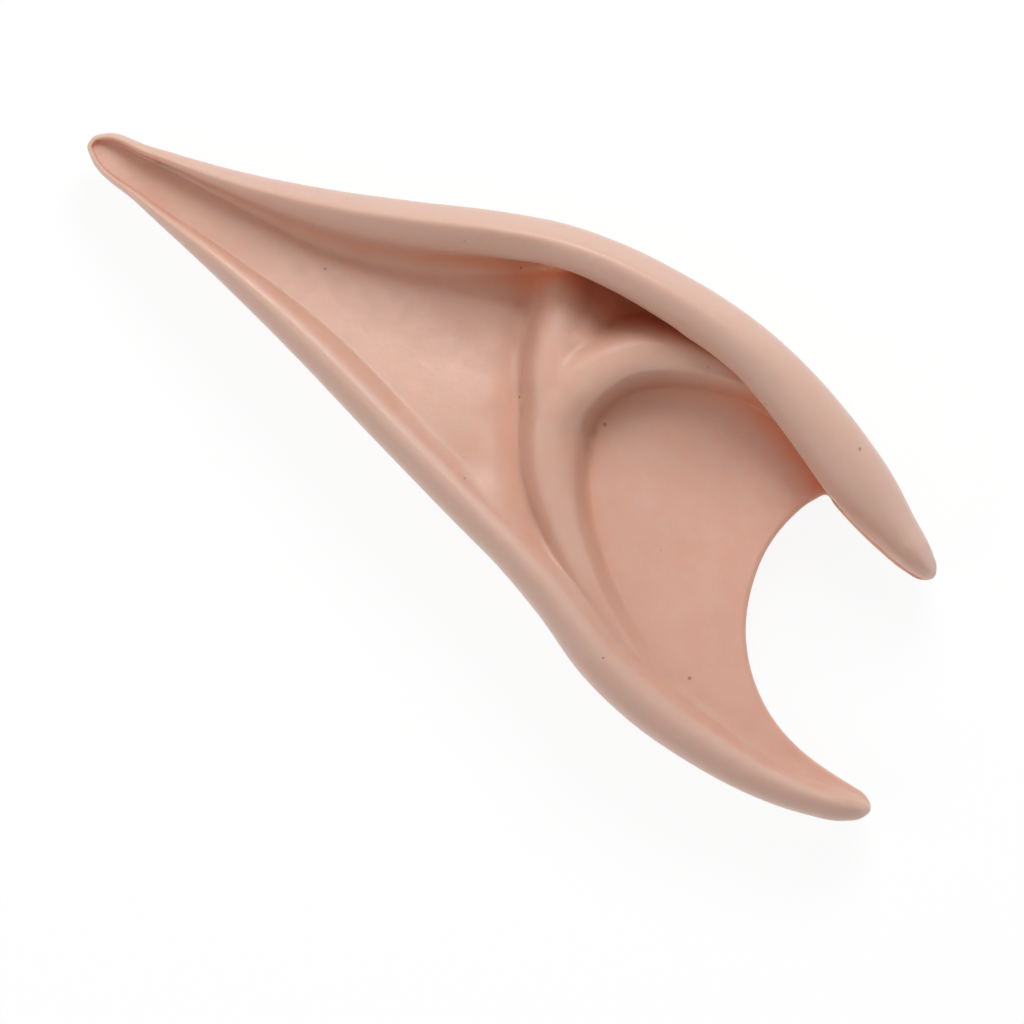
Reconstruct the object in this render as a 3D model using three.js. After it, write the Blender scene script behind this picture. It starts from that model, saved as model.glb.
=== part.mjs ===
import * as THREE from "three";

// Main sizes in millimetres: X runs from the elf tip to the face side, Y up the ear, Z from back to front
const earLength = 102.4;
const earHeight = 83;
const earDepth = 26;
const wall = 1.5;

// Units of the width columns in the tables below
const rimWidth = 8;
const backRound = 12;
const mouthInset = 8;
const hollowStart = 8;
const ridgeWidth = 8;

// Soft steps of the front skin
const bowlOutside = 0.7;
const bowlInside = 2.2;
const ridgeDrop = 1.5;
const ridgeBlend = 1.0;
const ridgeFullness = 2.6;

// Share of the fall from crest to edge at the rim's shoulder, where it overhangs and where it opens softly
const overhangShoulder = 0.36;
const openShoulder = 0.58;
const shoulderReach = 2;

// How quickly the heights and widths swell from the round ends, against an even rise
const heightSwell = 2.0;
const widthSwell = 1.2;
const endCrowding = 1.7;

// Colour and finish of the cast latex
const latexColour = 0xdbae98;
const latexRoughness = 0.55;

// How finely the shell is cut. The skin is cut closer within reach of the forked ridge.
const rowsPerStation = 2;
const rollCuts = 2;
const skinCuts = 28;
const roundCuts = 5;
const flatCuts = 5;
const innerRollCuts = 2;
const innerSkinCuts = 14;
const innerFlatCuts = 4;
const closeCutting = 2.6;
const closeReach = 7;

// Edge of the mouth, from the upper tongue's end up to the notch and down to the lobe's end
const pointColumns = ["along", "up"];
const pointUnits = { along: earLength, up: earHeight };
const mouthRows = [
  [0.996, 0.353],
  [0.982, 0.35],
  [0.962, 0.363],
  [0.933, 0.392],
  [0.9, 0.431],
  [0.879, 0.459],
  [0.87, 0.473],
  [0.853, 0.465],
  [0.825, 0.437],
  [0.8, 0.397],
  [0.782, 0.343],
  [0.774, 0.279],
  [0.781, 0.216],
  [0.803, 0.155],
  [0.837, 0.106],
  [0.877, 0.069],
  [0.9, 0.051],
  [0.915, 0.038],
  [0.922, 0.017],
];

// The rim, station by station, from the upper tongue over the crown to the elf tip and back along the lower rim to
// the lobe. Places along and up are shares of the ear's length and height, heights are shares of its depth, widths are
// shares of rimWidth, backRound, mouthInset and hollowStart. mouthAt is the place on the mouth's edge that lies
// opposite, counted in its rows. skin is 0 where the row is a free tongue, 1 on the ear.
const rimColumns = [
  "along", "up", "mouthAt",
  "crestAt", "edgeAt", "foldAt",
  "side", "crest", "edge", "fold", "lip",
  "skin", "round", "base", "inset", "hollowAt", "hollow",
];
const rimUnits = {
  along: earLength, up: earHeight, mouthAt: 1,
  crestAt: rimWidth, edgeAt: rimWidth, foldAt: rimWidth,
  side: earDepth, crest: earDepth, edge: earDepth, fold: earDepth, lip: earDepth,
  skin: 1, round: backRound, base: earDepth, inset: mouthInset, hollowAt: hollowStart, hollow: 1,
};
const rimRows = [
  [0.996, 0.353, 0, 0, 0, 0, 0.25, 0.25, 0.25, 0.25, 0.25, 0, 0, 0.162, 0, 0.188, 0.05],
  [0.999, 0.369, 1, 0.138, 0.263, 0.25, 0.254, 0.4, 0.331, 0.238, 0.208, 0, 0.1, 0.096, 0.062, 0.188, 0.08],
  [0.994, 0.389, 2, 0.237, 0.45, 0.438, 0.277, 0.485, 0.392, 0.238, 0.185, 0, 0.167, 0.073, 0.125, 0.188, 0.4],
  [0.971, 0.444, 3, 0.35, 0.675, 0.65, 0.331, 0.569, 0.462, 0.254, 0.177, 0, 0.267, 0.054, 0.188, 0.188, 0.9],
  [0.946, 0.502, 4, 0.438, 0.9, 0.838, 0.4, 0.646, 0.546, 0.285, 0.2, 0.1, 0.367, 0.035, 0.225, 0.188, 1],
  [0.917, 0.554, 5, 0.463, 0.988, 0.8, 0.462, 0.715, 0.615, 0.323, 0.262, 0.6, 0.483, 0.015, 0.325, 0.188, 1],
  [0.884, 0.605, 6.4, 0.438, 0.938, 0.713, 0.523, 0.777, 0.677, 0.346, 0.331, 1, 0.583, 0.004, 0.5, 0.188, 1],
  [0.843, 0.66, 7.08, 0.412, 0.875, 0.65, 0.569, 0.831, 0.731, 0.365, 0.346, 1, 0.708, 0, 0.75, 0.188, 1],
  [0.8, 0.708, 7.45, 0.388, 0.812, 0.588, 0.608, 0.885, 0.777, 0.365, 0.346, 1, 0.833, 0, 0.938, 0.188, 1],
  [0.75, 0.753, 7.7, 0.362, 0.762, 0.537, 0.631, 0.931, 0.815, 0.385, 0.346, 1, 0.958, 0, 1, 0.188, 1],
  [0.696, 0.792, 7.97, 0.338, 0.713, 0.512, 0.646, 0.962, 0.842, 0.385, 0.346, 1, 1, 0, 1, 0.188, 1],
  [0.638, 0.828, 8.17, 0.325, 0.675, 0.525, 0.654, 0.985, 0.862, 0.385, 0.346, 1, 1, 0, 1, 0.188, 1],
  [0.567, 0.86, 8.36, 0.312, 0.637, 0.675, 0.646, 1, 0.869, 0.423, 0.346, 1, 1, 0, 1, 0.188, 1],
  [0.485, 0.88, 8.52, 0.3, 0.613, 0.925, 0.631, 0.985, 0.846, 0.423, 0.346, 1, 1, 0, 1, 0.188, 1],
  [0.392, 0.894, 8.65, 0.287, 0.6, 1, 0.592, 0.923, 0.8, 0.423, 0.346, 1, 0.917, 0, 1, 0.188, 1],
  [0.286, 0.913, 8.76, 0.263, 0.512, 0.85, 0.546, 0.823, 0.723, 0.423, 0.346, 1, 0.667, 0.015, 1, 0.188, 1],
  [0.181, 0.94, 8.86, 0.2, 0.338, 0.487, 0.469, 0.677, 0.6, 0.423, 0.346, 1, 0.3, 0.046, 1, 0.188, 1],
  [0.075, 0.978, 8.93, 0.106, 0.163, 0.2, 0.362, 0.477, 0.431, 0.423, 0.346, 1, 0.142, 0.1, 1, 0.275, 1],
  [0.021, 0.998, 8.98, 0.062, 0.1, 0.125, 0.292, 0.381, 0.358, 0.346, 0.346, 1, 0.083, 0.154, 1, 0.75, 1],
  [0.007, 0.993, 9, 0.052, 0.081, 0.1, 0.277, 0.362, 0.346, 0.346, 0.346, 1, 0.071, 0.169, 1, 0.875, 1],
  [0, 0.98, 9.03, 0.05, 0.077, 0.094, 0.269, 0.358, 0.342, 0.346, 0.346, 1, 0.067, 0.173, 1, 0.938, 1],
  [0.004, 0.963, 9.06, 0.052, 0.081, 0.1, 0.277, 0.362, 0.346, 0.346, 0.346, 1, 0.071, 0.169, 1, 0.875, 1],
  [0.061, 0.894, 9.12, 0.094, 0.144, 0.181, 0.338, 0.462, 0.431, 0.423, 0.346, 1, 0.125, 0.1, 1, 0.3, 1],
  [0.145, 0.797, 9.27, 0.225, 0.35, 0.425, 0.385, 0.577, 0.538, 0.5, 0.346, 1, 0.283, 0.038, 1, 0.188, 1],
  [0.239, 0.682, 9.5, 0.325, 0.512, 0.675, 0.446, 0.638, 0.6, 0.538, 0.346, 1, 0.583, 0.012, 1, 0.188, 1],
  [0.333, 0.56, 9.85, 0.362, 0.562, 0.75, 0.462, 0.669, 0.631, 0.577, 0.346, 1, 0.833, 0, 1, 0.188, 1],
  [0.427, 0.44, 10.25, 0.375, 0.575, 0.762, 0.469, 0.685, 0.65, 0.577, 0.346, 1, 0.958, 0, 1, 0.188, 1],
  [0.488, 0.363, 10.7, 0.388, 0.575, 0.725, 0.469, 0.685, 0.65, 0.577, 0.346, 1, 1, 0, 1, 0.188, 1],
  [0.532, 0.297, 11.2, 0.412, 0.6, 0.725, 0.462, 0.669, 0.635, 0.577, 0.346, 1, 1, 0, 1, 0.188, 1],
  [0.579, 0.216, 11.8, 0.45, 0.65, 0.775, 0.438, 0.638, 0.6, 0.538, 0.346, 1, 0.875, 0, 0.938, 0.188, 1],
  [0.638, 0.145, 12.42, 0.475, 0.7, 0.825, 0.412, 0.592, 0.546, 0.5, 0.346, 1, 0.75, 0, 0.75, 0.188, 1],
  [0.708, 0.085, 13.06, 0.463, 0.65, 0.762, 0.377, 0.546, 0.5, 0.462, 0.346, 1, 0.583, 0.004, 0.5, 0.188, 1],
  [0.778, 0.039, 13.85, 0.412, 0.562, 0.65, 0.342, 0.5, 0.462, 0.423, 0.331, 0.9, 0.417, 0.015, 0.325, 0.188, 1],
  [0.841, 0.011, 14.72, 0.35, 0.463, 0.537, 0.292, 0.469, 0.438, 0.408, 0.315, 0.6, 0.3, 0.035, 0.225, 0.188, 0.9],
  [0.89, 0, 16, 0.263, 0.375, 0.425, 0.269, 0.431, 0.4, 0.369, 0.292, 0.2, 0.2, 0.054, 0.15, 0.188, 0.4],
  [0.911, 0.004, 17, 0.163, 0.25, 0.275, 0.254, 0.369, 0.338, 0.308, 0.269, 0, 0.117, 0.073, 0.075, 0.188, 0.08],
  [0.922, 0.017, 18, 0, 0, 0, 0.242, 0.242, 0.242, 0.242, 0.242, 0, 0, 0.154, 0, 0.188, 0.05],
];

// Heights of the front skin outside the bowl: the valley, the upper hollow and the foot of the lower rim
const placeColumns = ["along", "up", "height"];
const outerRows = [
  [0.016, 0.978, 0.319],
  [0.063, 0.939, 0.354],
  [0.093, 0.919, 0.392],
  [0.183, 0.88, 0.454],
  [0.284, 0.821, 0.462],
  [0.392, 0.797, 0.446],
  [0.485, 0.786, 0.431],
  [0.542, 0.783, 0.408],
  [0.181, 0.815, 0.496],
  [0.274, 0.709, 0.558],
  [0.368, 0.601, 0.6],
  [0.321, 0.76, 0.5],
  [0.438, 0.702, 0.5],
  [0.45, 0.514, 0.615],
  [0.497, 0.748, 0.462],
  [0.487, 0.685, 0.5],
  [0.482, 0.615, 0.546],
  [0.485, 0.543, 0.581],
  [0.497, 0.485, 0.596],
  [0.513, 0.436, 0.596],
  [0.53, 0.754, 0.431],
  [0.517, 0.687, 0.477],
  [0.509, 0.615, 0.504],
  [0.509, 0.557, 0.515],
  [0.513, 0.499, 0.531],
  [0.525, 0.441, 0.546],
  [0.542, 0.402, 0.569],
  [0.574, 0.695, 0.631],
  [0.593, 0.698, 0.6],
  [0.577, 0.734, 0.554],
  [0.593, 0.76, 0.446],
  [0.612, 0.728, 0.477],
  [0.628, 0.76, 0.362],
  [0.647, 0.728, 0.346],
  [0.691, 0.702, 0.331],
  [0.734, 0.676, 0.346],
  [0.778, 0.641, 0.362],
  [0.558, 0.372, 0.592],
  [0.585, 0.294, 0.577],
  [0.649, 0.203, 0.523],
  [0.732, 0.13, 0.462],
  [0.814, 0.085, 0.423],
];

// Heights of the bowl's floor
const bowlRows = [
  [0.819, 0.572, 0.346],
  [0.72, 0.618, 0.331],
  [0.638, 0.586, 0.342],
  [0.6, 0.514, 0.377],
  [0.597, 0.427, 0.408],
  [0.62, 0.34, 0.431],
  [0.661, 0.253, 0.442],
  [0.708, 0.181, 0.442],
  [0.767, 0.123, 0.431],
  [0.837, 0.082, 0.408],
  [0.72, 0.499, 0.354],
  [0.685, 0.369, 0.392],
  [0.778, 0.326, 0.4],
  [0.778, 0.21, 0.415],
  [0.855, 0.473, 0.362],
  [0.802, 0.405, 0.385],
  [0.879, 0.47, 0.331],
];

// Crest of the forked ridge, from under the crown along its lower arm and down to the lower rim, and its upper arm.
// left and right are the distances, in shares of ridgeWidth, in which the flank falls by ridgeDrop.
const ridgeColumns = ["along", "up", "height", "left", "right"];
const ridgeUnits = {
  along: earLength, up: earHeight, height: earDepth, left: ridgeWidth, right: ridgeWidth,
};
const lowerArmRows = [
  [0.792, 0.618, 0.481, 0.325, 0.2],
  [0.761, 0.644, 0.592, 0.362, 0.225],
  [0.72, 0.667, 0.654, 0.4, 0.237],
  [0.679, 0.682, 0.688, 0.425, 0.25],
  [0.644, 0.683, 0.708, 0.425, 0.263],
  [0.612, 0.67, 0.715, 0.425, 0.287],
  [0.579, 0.644, 0.715, 0.425, 0.3],
  [0.551, 0.612, 0.708, 0.425, 0.25],
  [0.537, 0.572, 0.696, 0.425, 0.225],
  [0.535, 0.528, 0.688, 0.425, 0.225],
  [0.54, 0.485, 0.681, 0.4, 0.225],
  [0.551, 0.446, 0.669, 0.375, 0.225],
  [0.565, 0.405, 0.654, 0.312, 0.237],
  [0.583, 0.359, 0.631, 0.3, 0.25],
  [0.605, 0.308, 0.592, 0.3, 0.25],
  [0.635, 0.246, 0.535, 0.287, 0.25],
];
const upperArmRows = [
  [0.536, 0.531, 0.638, 0.225, 0.35],
  [0.537, 0.572, 0.662, 0.225, 0.375],
  [0.539, 0.609, 0.685, 0.225, 0.425],
  [0.538, 0.644, 0.696, 0.212, 0.45],
  [0.538, 0.677, 0.692, 0.212, 0.45],
  [0.542, 0.711, 0.677, 0.212, 0.4],
  [0.55, 0.742, 0.65, 0.212, 0.35],
  [0.559, 0.771, 0.6, 0.212, 0.312],
  [0.567, 0.8, 0.508, 0.212, 0.275],
];

// Outline of the bowl, from the mouth's upper corner round to the lobe
const outlineRows = [
  [0.849, 0.54],
  [0.814, 0.595],
  [0.776, 0.621],
  [0.743, 0.635],
  [0.702, 0.644],
  [0.667, 0.644],
  [0.638, 0.635],
  [0.614, 0.618],
  [0.594, 0.593],
  [0.583, 0.562],
  [0.578, 0.525],
  [0.577, 0.485],
  [0.581, 0.441],
  [0.591, 0.395],
  [0.605, 0.347],
  [0.62, 0.308],
  [0.638, 0.271],
  [0.66, 0.232],
  [0.694, 0.185],
  [0.737, 0.143],
  [0.792, 0.106],
  [0.855, 0.062],
  [0.925, 0.019],
];

const mix = (a, b, t) => a + (b - a) * t;
const mixPoint = (p, q, t) => p.map((value, k) => mix(value, q[k], t));
const away = (p, q) => Math.hypot(...p.map((value, k) => q[k] - value));
const clamp = (t) => Math.min(1, Math.max(0, t));
const smooth = (t) => clamp(t) ** 2 * (3 - 2 * clamp(t));
const unit = (p) => p.map((value) => value / Math.hypot(...p));
const cutsOf = (count) => Array.from({ length: count }, (_, i) => (i + 1) / count);
const higher = (a, b) => (a + b + Math.hypot(a - b, ridgeBlend)) / 2;

function scaled(columns, units, rows) {
  return rows.map((row) => row.map((value, k) => value * (units[columns[k]] ?? 1)));
}

// A smooth curve through points of any number of values, with the knots at their distances apart
function curve(points, knotValues, startSlope, endSlope) {
  const knots = [0];
  for (let i = 1; i < points.length; i += 1) {
    const from = points[i - 1].slice(0, knotValues);
    knots.push(knots[i - 1] + away(from, points[i].slice(0, knotValues)));
  }
  const last = points.length - 1;
  const steps = points.slice(1).map((p, i) => p.map((v, k) => (v - points[i][k]) / (knots[i + 1] - knots[i])));
  const slopes = points.map((p, i) => {
    if (i === 0) return startSlope ?? steps[0];
    if (i === last) return endSlope ?? steps[last - 1];
    const before = knots[i] - knots[i - 1];
    const after = knots[i + 1] - knots[i];
    return mixPoint(steps[i - 1], steps[i], before / (before + after));
  });
  return { points, knots, slopes, last };
}

function onCurve(line, place) {
  const i = Math.min(line.last - 1, Math.floor(place));
  const t = place - i;
  const span = line.knots[i + 1] - line.knots[i];
  return line.points[i].map((value, k) => {
    const next = line.points[i + 1][k];
    const out = line.slopes[i][k] * span;
    const into = line.slopes[i + 1][k] * span;
    return value + t * out + t * t * (3 * (next - value) - 2 * out - into)
      + t * t * t * (2 * (value - next) + out + into);
  });
}

// A soft sheet of heights through scattered places
function sheet(rows) {
  const places = scaled(placeColumns, { along: earLength, up: earHeight, height: earDepth }, rows);
  const bend = (ax, ay, bx, by) => {
    const squared = (ax - bx) ** 2 + (ay - by) ** 2;
    return squared > 0 ? squared * Math.log(squared) : 0;
  };
  const size = places.length + 3;
  const matrix = places.map(([x, y, z]) => [...places.map(([u, v]) => bend(x, y, u, v)), 1, x, y, z]);
  [() => 1, (p) => p[0], (p) => p[1]].forEach((term) => {
    matrix.push([...places.map(term), 0, 0, 0, 0]);
  });
  for (let i = 0; i < size; i += 1) {
    let best = i;
    for (let j = i + 1; j < size; j += 1) {
      if (Math.abs(matrix[j][i]) > Math.abs(matrix[best][i])) best = j;
    }
    [matrix[i], matrix[best]] = [matrix[best], matrix[i]];
    for (let j = 0; j < size; j += 1) {
      const share = matrix[j][i] / matrix[i][i];
      if (j !== i) matrix[j] = matrix[j].map((value, k) => value - share * matrix[i][k]);
    }
  }
  const weights = matrix.map((row, i) => row[size] / row[i]);
  const [level, slopeX, slopeY] = weights.slice(-3);
  return (x, y) => places.reduce(
    (sum, [u, v], i) => sum + weights[i] * bend(x, y, u, v),
    level + slopeX * x + slopeY * y,
  );
}

// Nearest place on a line of stations: its values, the distance, and the side from 1 on the left to -1 on the right
function nearest(stations, x, y) {
  let best = { distance: Infinity };
  for (let i = 0; i + 1 < stations.length; i += 1) {
    const [ax, ay] = stations[i];
    const bx = stations[i + 1][0] - ax;
    const by = stations[i + 1][1] - ay;
    const t = clamp(((x - ax) * bx + (y - ay) * by) / (bx * bx + by * by));
    const distance = Math.hypot(x - ax - t * bx, y - ay - t * by);
    if (distance < best.distance) {
      const side = (bx * (y - ay) - by * (x - ax)) / (Math.hypot(bx, by) * Math.max(distance, 1e-9));
      best = { distance, side, values: mixPoint(stations[i], stations[i + 1], t) };
    }
  }
  return best;
}

function stationsOf(columns, units, rows, cuts) {
  const line = curve(scaled(columns, units, rows), 2);
  const count = line.last * cuts;
  return Array.from({ length: count + 1 }, (_, i) => onCurve(line, (i / count) * line.last));
}

const outerSheet = sheet(outerRows);
const bowlSheet = sheet(bowlRows);
const lowerArm = stationsOf(ridgeColumns, ridgeUnits, lowerArmRows, 3);
const upperArm = stationsOf(ridgeColumns, ridgeUnits, upperArmRows, 3);
const bowlOutline = stationsOf(pointColumns, pointUnits, outlineRows, 3);

function ridgeHeight(arm, x, y) {
  const { distance, side, values } = nearest(arm, x, y);
  const [, , height, left, right] = values;
  const across = mix(right, left, (side + 1) / 2);
  return height - ridgeDrop * (distance / across) ** ridgeFullness;
}

function skinHeight(x, y) {
  const bowl = nearest(bowlOutline, x, y);
  const inside = smooth((bowl.side * bowl.distance + bowlOutside) / (bowlOutside + bowlInside));
  const arms = higher(ridgeHeight(lowerArm, x, y), ridgeHeight(upperArm, x, y));
  return mix(higher(outerSheet(x, y), arms), bowlSheet(x, y), inside);
}

// A run over the skin from the rim's fold to the mouth, that leaves the rim squarely
const bentRun = (from, through, to) => (t) => mixPoint(mixPoint(from, through, t), mixPoint(through, to, t), t);

// Shares of such a run at which it is cut
function skinShares(run, count) {
  const fine = 80;
  const sums = [0];
  for (let i = 0; i < fine; i += 1) {
    const [x, y] = run((i + 0.5) / fine);
    const reach = Math.min(nearest(lowerArm, x, y).distance, nearest(upperArm, x, y).distance);
    const closeness = 1 + closeCutting * Math.exp(-((reach / closeReach) ** 2));
    sums.push(sums[i] + closeness * away(run(i / fine), run((i + 1) / fine)));
  }
  return cutsOf(count).map((share) => {
    const wanted = share * sums[fine];
    const i = Math.min(fine, sums.findIndex((sum) => sum >= wanted - 1e-9));
    return (i - (sums[i] - wanted) / (sums[i] - sums[i - 1])) / fine;
  });
}

// Height of a ball of the wall's size that rolls along the underside of the front skin
function underSkin(x, y) {
  let lowest = skinHeight(x, y) - wall;
  [0.5, 0.9].forEach((share) => {
    for (let k = 0; k < 8; k += 1) {
      const dx = share * wall * Math.cos((k * Math.PI) / 4);
      const dy = share * wall * Math.sin((k * Math.PI) / 4);
      lowest = Math.min(lowest, skinHeight(x + dx, y + dy) - wall * Math.sqrt(1 - share * share));
    }
  });
  return lowest;
}

// Slopes at an end of the rim, which runs on into the mouth's edge there, while the rest swells
function endSlope(end, next, across, way) {
  const reach = away(end.slice(0, 2), next.slice(0, 2));
  return next.map((value, k) => {
    if (k < 2) return way * across[k];
    const swell = rimUnits[rimColumns[k]] === earDepth ? heightSwell : widthSwell;
    return (way * swell * (value - end[k])) / reach;
  });
}

// Height of the same ball under the rolled rim, at a distance from the rim
function underRoll(rollRun, distance) {
  const near = rollRun.filter(([d]) => Math.abs(d - distance) < wall);
  return Math.min(...near.map(([d, height]) => height - Math.sqrt(wall * wall - (d - distance) ** 2)));
}

const rimStations = scaled(rimColumns, rimUnits, rimRows);
const mouthPoints = scaled(pointColumns, pointUnits, mouthRows);
const [firstAcross, lastAcross] = [1, -2].map((row) => {
  return unit([0, 1].map((k) => rimStations.at(row)[k] - mouthPoints.at(row)[k]));
});
const firstSlope = endSlope(rimStations[0], rimStations[1], firstAcross, 1);
const lastSlope = endSlope(rimStations.at(-1), rimStations.at(-2), lastAcross, -1);
const rimLine = curve(rimStations, 2, firstSlope, lastSlope);
const mouthLine = curve(mouthPoints, 2, firstAcross.map((value) => -value), lastAcross);

function stationAt(place) {
  const values = onCurve(rimLine, place);
  const st = Object.fromEntries(rimColumns.map((name, k) => [name, values[k]]));
  st.base = Math.max(0, st.base);
  st.skin = clamp(st.skin);
  st.hollow = clamp(st.hollow);
  const ahead = onCurve(rimLine, Math.min(rimLine.last, place + 0.01));
  const behind = onCurve(rimLine, Math.max(0, place - 0.01));
  const travel = unit([ahead[0] - behind[0], ahead[1] - behind[1]]);
  st.rim = [st.along, st.up];
  st.mouth = onCurve(mouthLine, Math.max(0, st.mouthAt));
  const straight = unit([st.mouth[0] - st.rim[0], st.mouth[1] - st.rim[1]]);
  st.inward = unit(mixPoint(straight, [-travel[1], travel[0]], st.skin));
  return st;
}

const step = (from, direction, distance) => from.map((value, k) => value + direction[k] * distance);

// One closed section: front skin from the mouth to the rim, round the back, and the same way inside
function section(place) {
  const st = stationAt(place);
  const foldPlan = step(st.rim, st.inward, st.foldAt);
  const skinRun = away(foldPlan, st.mouth);
  const skinWay = unit([st.mouth[0] - foldPlan[0], st.mouth[1] - foldPlan[1]]);
  const foldHeight = mix(st.fold, skinHeight(...foldPlan), st.skin);
  const turnPlan = step(st.rim, st.inward, Math.max(st.foldAt * 1.02, st.round));
  const skinRunTo = bentRun(foldPlan, turnPlan, st.mouth);
  const skinAt = (t) => {
    const plan = skinRunTo(t);
    const height = mix(mix(foldHeight, st.lip, t), skinHeight(...plan), st.skin);
    return [...plan, height];
  };
  const first = skinAt(0.02);
  const foldSlope = unit([first[0] - foldPlan[0], first[1] - foldPlan[1], first[2] - foldHeight]);

  // The rolled rim, seen across: distance from the rim and height
  const crest = st.crest;
  const shoulder = mix(overhangShoulder, openShoulder, smooth((st.foldAt - st.edgeAt) / shoulderReach));
  const roll = curve([
    [0, st.side],
    [st.crestAt * 0.27, st.side + (crest - st.side) * 0.72],
    [st.crestAt, crest],
    [mix(st.crestAt, st.edgeAt, 0.7), mix(crest, st.edge, shoulder)],
    [st.edgeAt, st.edge],
    [st.foldAt, foldHeight],
  ], 2, [0, 1], [Math.hypot(foldSlope[0], foldSlope[1]), Math.min(0, foldSlope[2])]);
  const across = (distance, height) => [...step(st.rim, st.inward, distance), height];
  const rollRun = Array.from({ length: roll.last * 4 + 1 }, (_, i) => onCurve(roll, i / 4));
  const rollPoints = Array.from({ length: roll.last * rollCuts + 1 }, (_, i) => {
    return across(...onCurve(roll, i / rollCuts));
  });

  // The rounded back and the flat behind it, which stops short of the mouth
  const roundPlan = step(st.rim, st.inward, st.round);
  const backWay = unit([st.mouth[0] - roundPlan[0], st.mouth[1] - roundPlan[1]]);
  const backEnd = step(st.mouth, backWay, -st.inset);
  const endBase = st.base * (1 - st.skin);
  const backAt = (t) => [...mixPoint(roundPlan, backEnd, t), mix(st.base, endBase, smooth(t * 1.6))];
  const roundPoints = cutsOf(roundCuts).map((t) => {
    const turn = (t * Math.PI) / 2;
    return across(st.round * (1 - Math.cos(turn)), mix(st.side, st.base, Math.sin(turn)));
  });
  const backPoints = cutsOf(flatCuts).map(backAt);

  // The hollow
  const start = st.hollowAt;
  const pull = wall * (1 - st.skin);
  const foldRun = Math.max(st.foldAt - pull, start + (st.hollowAt > 2 * wall ? 2.5 : 0.4));
  const frontWay = (distance) => {
    const onRoll = Math.min(distance, st.foldAt);
    return step(step(st.rim, st.inward, onRoll), skinWay, distance - onRoll);
  };
  const under = (plan, t) => mix(mix(foldHeight, st.lip, t), underSkin(...plan), st.skin);
  const foldInner = frontWay(foldRun);
  const innerEnd = step(st.mouth, skinWay, -Math.min(pull, skinRun));
  const innerTurn = st.round > foldRun ? turnPlan : mixPoint(foldInner, innerEnd, 0.1);
  const innerRunTo = bentRun(foldInner, innerTurn, innerEnd);
  const innerSkin = [0, ...skinShares(innerRunTo, innerSkinCuts)].map((t) => {
    const plan = innerRunTo(t);
    return [...plan, under(plan, t)];
  });
  const deep = st.foldAt < start;
  const overhang = smooth(st.edgeAt - st.foldAt);
  const overhangRoof = mix(foldHeight, crest, 0.35) - wall;
  const startHeight = deep
    ? mix(st.base + wall, innerSkin[0][2], 0.5)
    : Math.min(st.side, mix(crest - wall, overhangRoof, overhang));
  const roofAt = (share) => {
    const distance = mix(start, foldRun, share);
    const open = underRoll(rollRun, distance);
    const height = mix(open, mix(startHeight, overhangRoof, smooth(2 * share)), overhang);
    return [...frontWay(distance), deep ? mix(startHeight, innerSkin[0][2], share) : height];
  };
  const roof = curve([[...frontWay(start), startHeight], roofAt(0.3), roofAt(0.62), innerSkin[0]], 3);
  const roofPoints = Array.from({ length: roof.last * innerRollCuts + 1 }, (_, i) => {
    return onCurve(roof, i / innerRollCuts);
  });
  const roundRun = Math.max(st.round, start + 1.2);
  const backRun = away(roundPlan, backEnd);
  const innerBackAt = (t) => {
    const [x, y, z] = backAt(t);
    return [x, y, z + wall];
  };
  const roundStart = (roundRun - st.round) / backRun;
  const roundTarget = innerBackAt(roundStart);
  const innerRound = cutsOf(roundCuts).map((t) => {
    const turn = (t * Math.PI) / 2;
    const plan = mixPoint(roofPoints[0].slice(0, 2), roundTarget.slice(0, 2), 1 - Math.cos(turn));
    return [...plan, mix(startHeight, roundTarget[2], Math.sin(turn))];
  });
  const innerFlat = cutsOf(innerFlatCuts).map((t) => innerBackAt(mix(roundStart, 1, t)));

  const front = skinShares(skinRunTo, skinCuts).reverse().map((t) => skinAt(t));
  const outer = [...front, ...rollPoints.reverse(), ...roundPoints, ...backPoints];
  const inner = [...innerFlat.reverse(), ...innerRound.reverse(), ...roofPoints, ...innerSkin.slice(1)];
  const centre = mixPoint(outer[0], outer.at(-1), 0.5);
  return [...outer, ...inner.map((p) => mixPoint(centre, p, st.hollow))];
}

function earShell() {
  const count = rimLine.last * rowsPerStation;
  const loops = Array.from({ length: count - 1 }, (_, i) => {
    const place = (i + 1) / rowsPerStation;
    if (place < 1) return section(place ** endCrowding);
    const left = rimLine.last - place;
    return section(left < 1 ? rimLine.last - left ** endCrowding : place);
  });
  const ends = [onCurve(rimLine, 0), onCurve(rimLine, rimLine.last)];
  const poles = ends.map((values) => [values[0], values[1], values[rimColumns.indexOf("side")]]);
  const size = loops[0].length;
  const points = [...loops.flat(), ...poles];
  const faces = [];
  for (let i = 0; i + 1 < loops.length; i += 1) {
    for (let j = 0; j < size; j += 1) {
      const next = (j + 1) % size;
      const [a, b, c, d] = [i * size + j, i * size + next, (i + 1) * size + next, (i + 1) * size + j];
      faces.push([a, b, c], [a, c, d]);
    }
  }
  const lastLoop = (loops.length - 1) * size;
  for (let j = 0; j < size; j += 1) {
    const next = (j + 1) % size;
    faces.push([loops.length * size, next, j]);
    faces.push([loops.length * size + 1, lastLoop + j, lastLoop + next]);
  }
  const geometry = new THREE.BufferGeometry();
  const box = new THREE.Box3().setFromPoints(points.map((p) => new THREE.Vector3(...p)));
  const middle = box.getCenter(new THREE.Vector3());
  const placed = points.flatMap(([x, y, z]) => [x - middle.x, y - middle.y, z - box.min.z]);
  geometry.setAttribute("position", new THREE.Float32BufferAttribute(placed, 3));
  geometry.setIndex(faces.flat());
  geometry.computeVertexNormals();
  return geometry;
}

const latex = new THREE.MeshStandardMaterial({
  name: "latex",
  color: latexColour,
  roughness: latexRoughness,
  metalness: 0,
});

const ear = new THREE.Group();
ear.name = "elf_ear_tip";
const shell = new THREE.Mesh(earShell(), latex);
shell.name = "ear_shell";
ear.add(shell);

export default ear;
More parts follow.
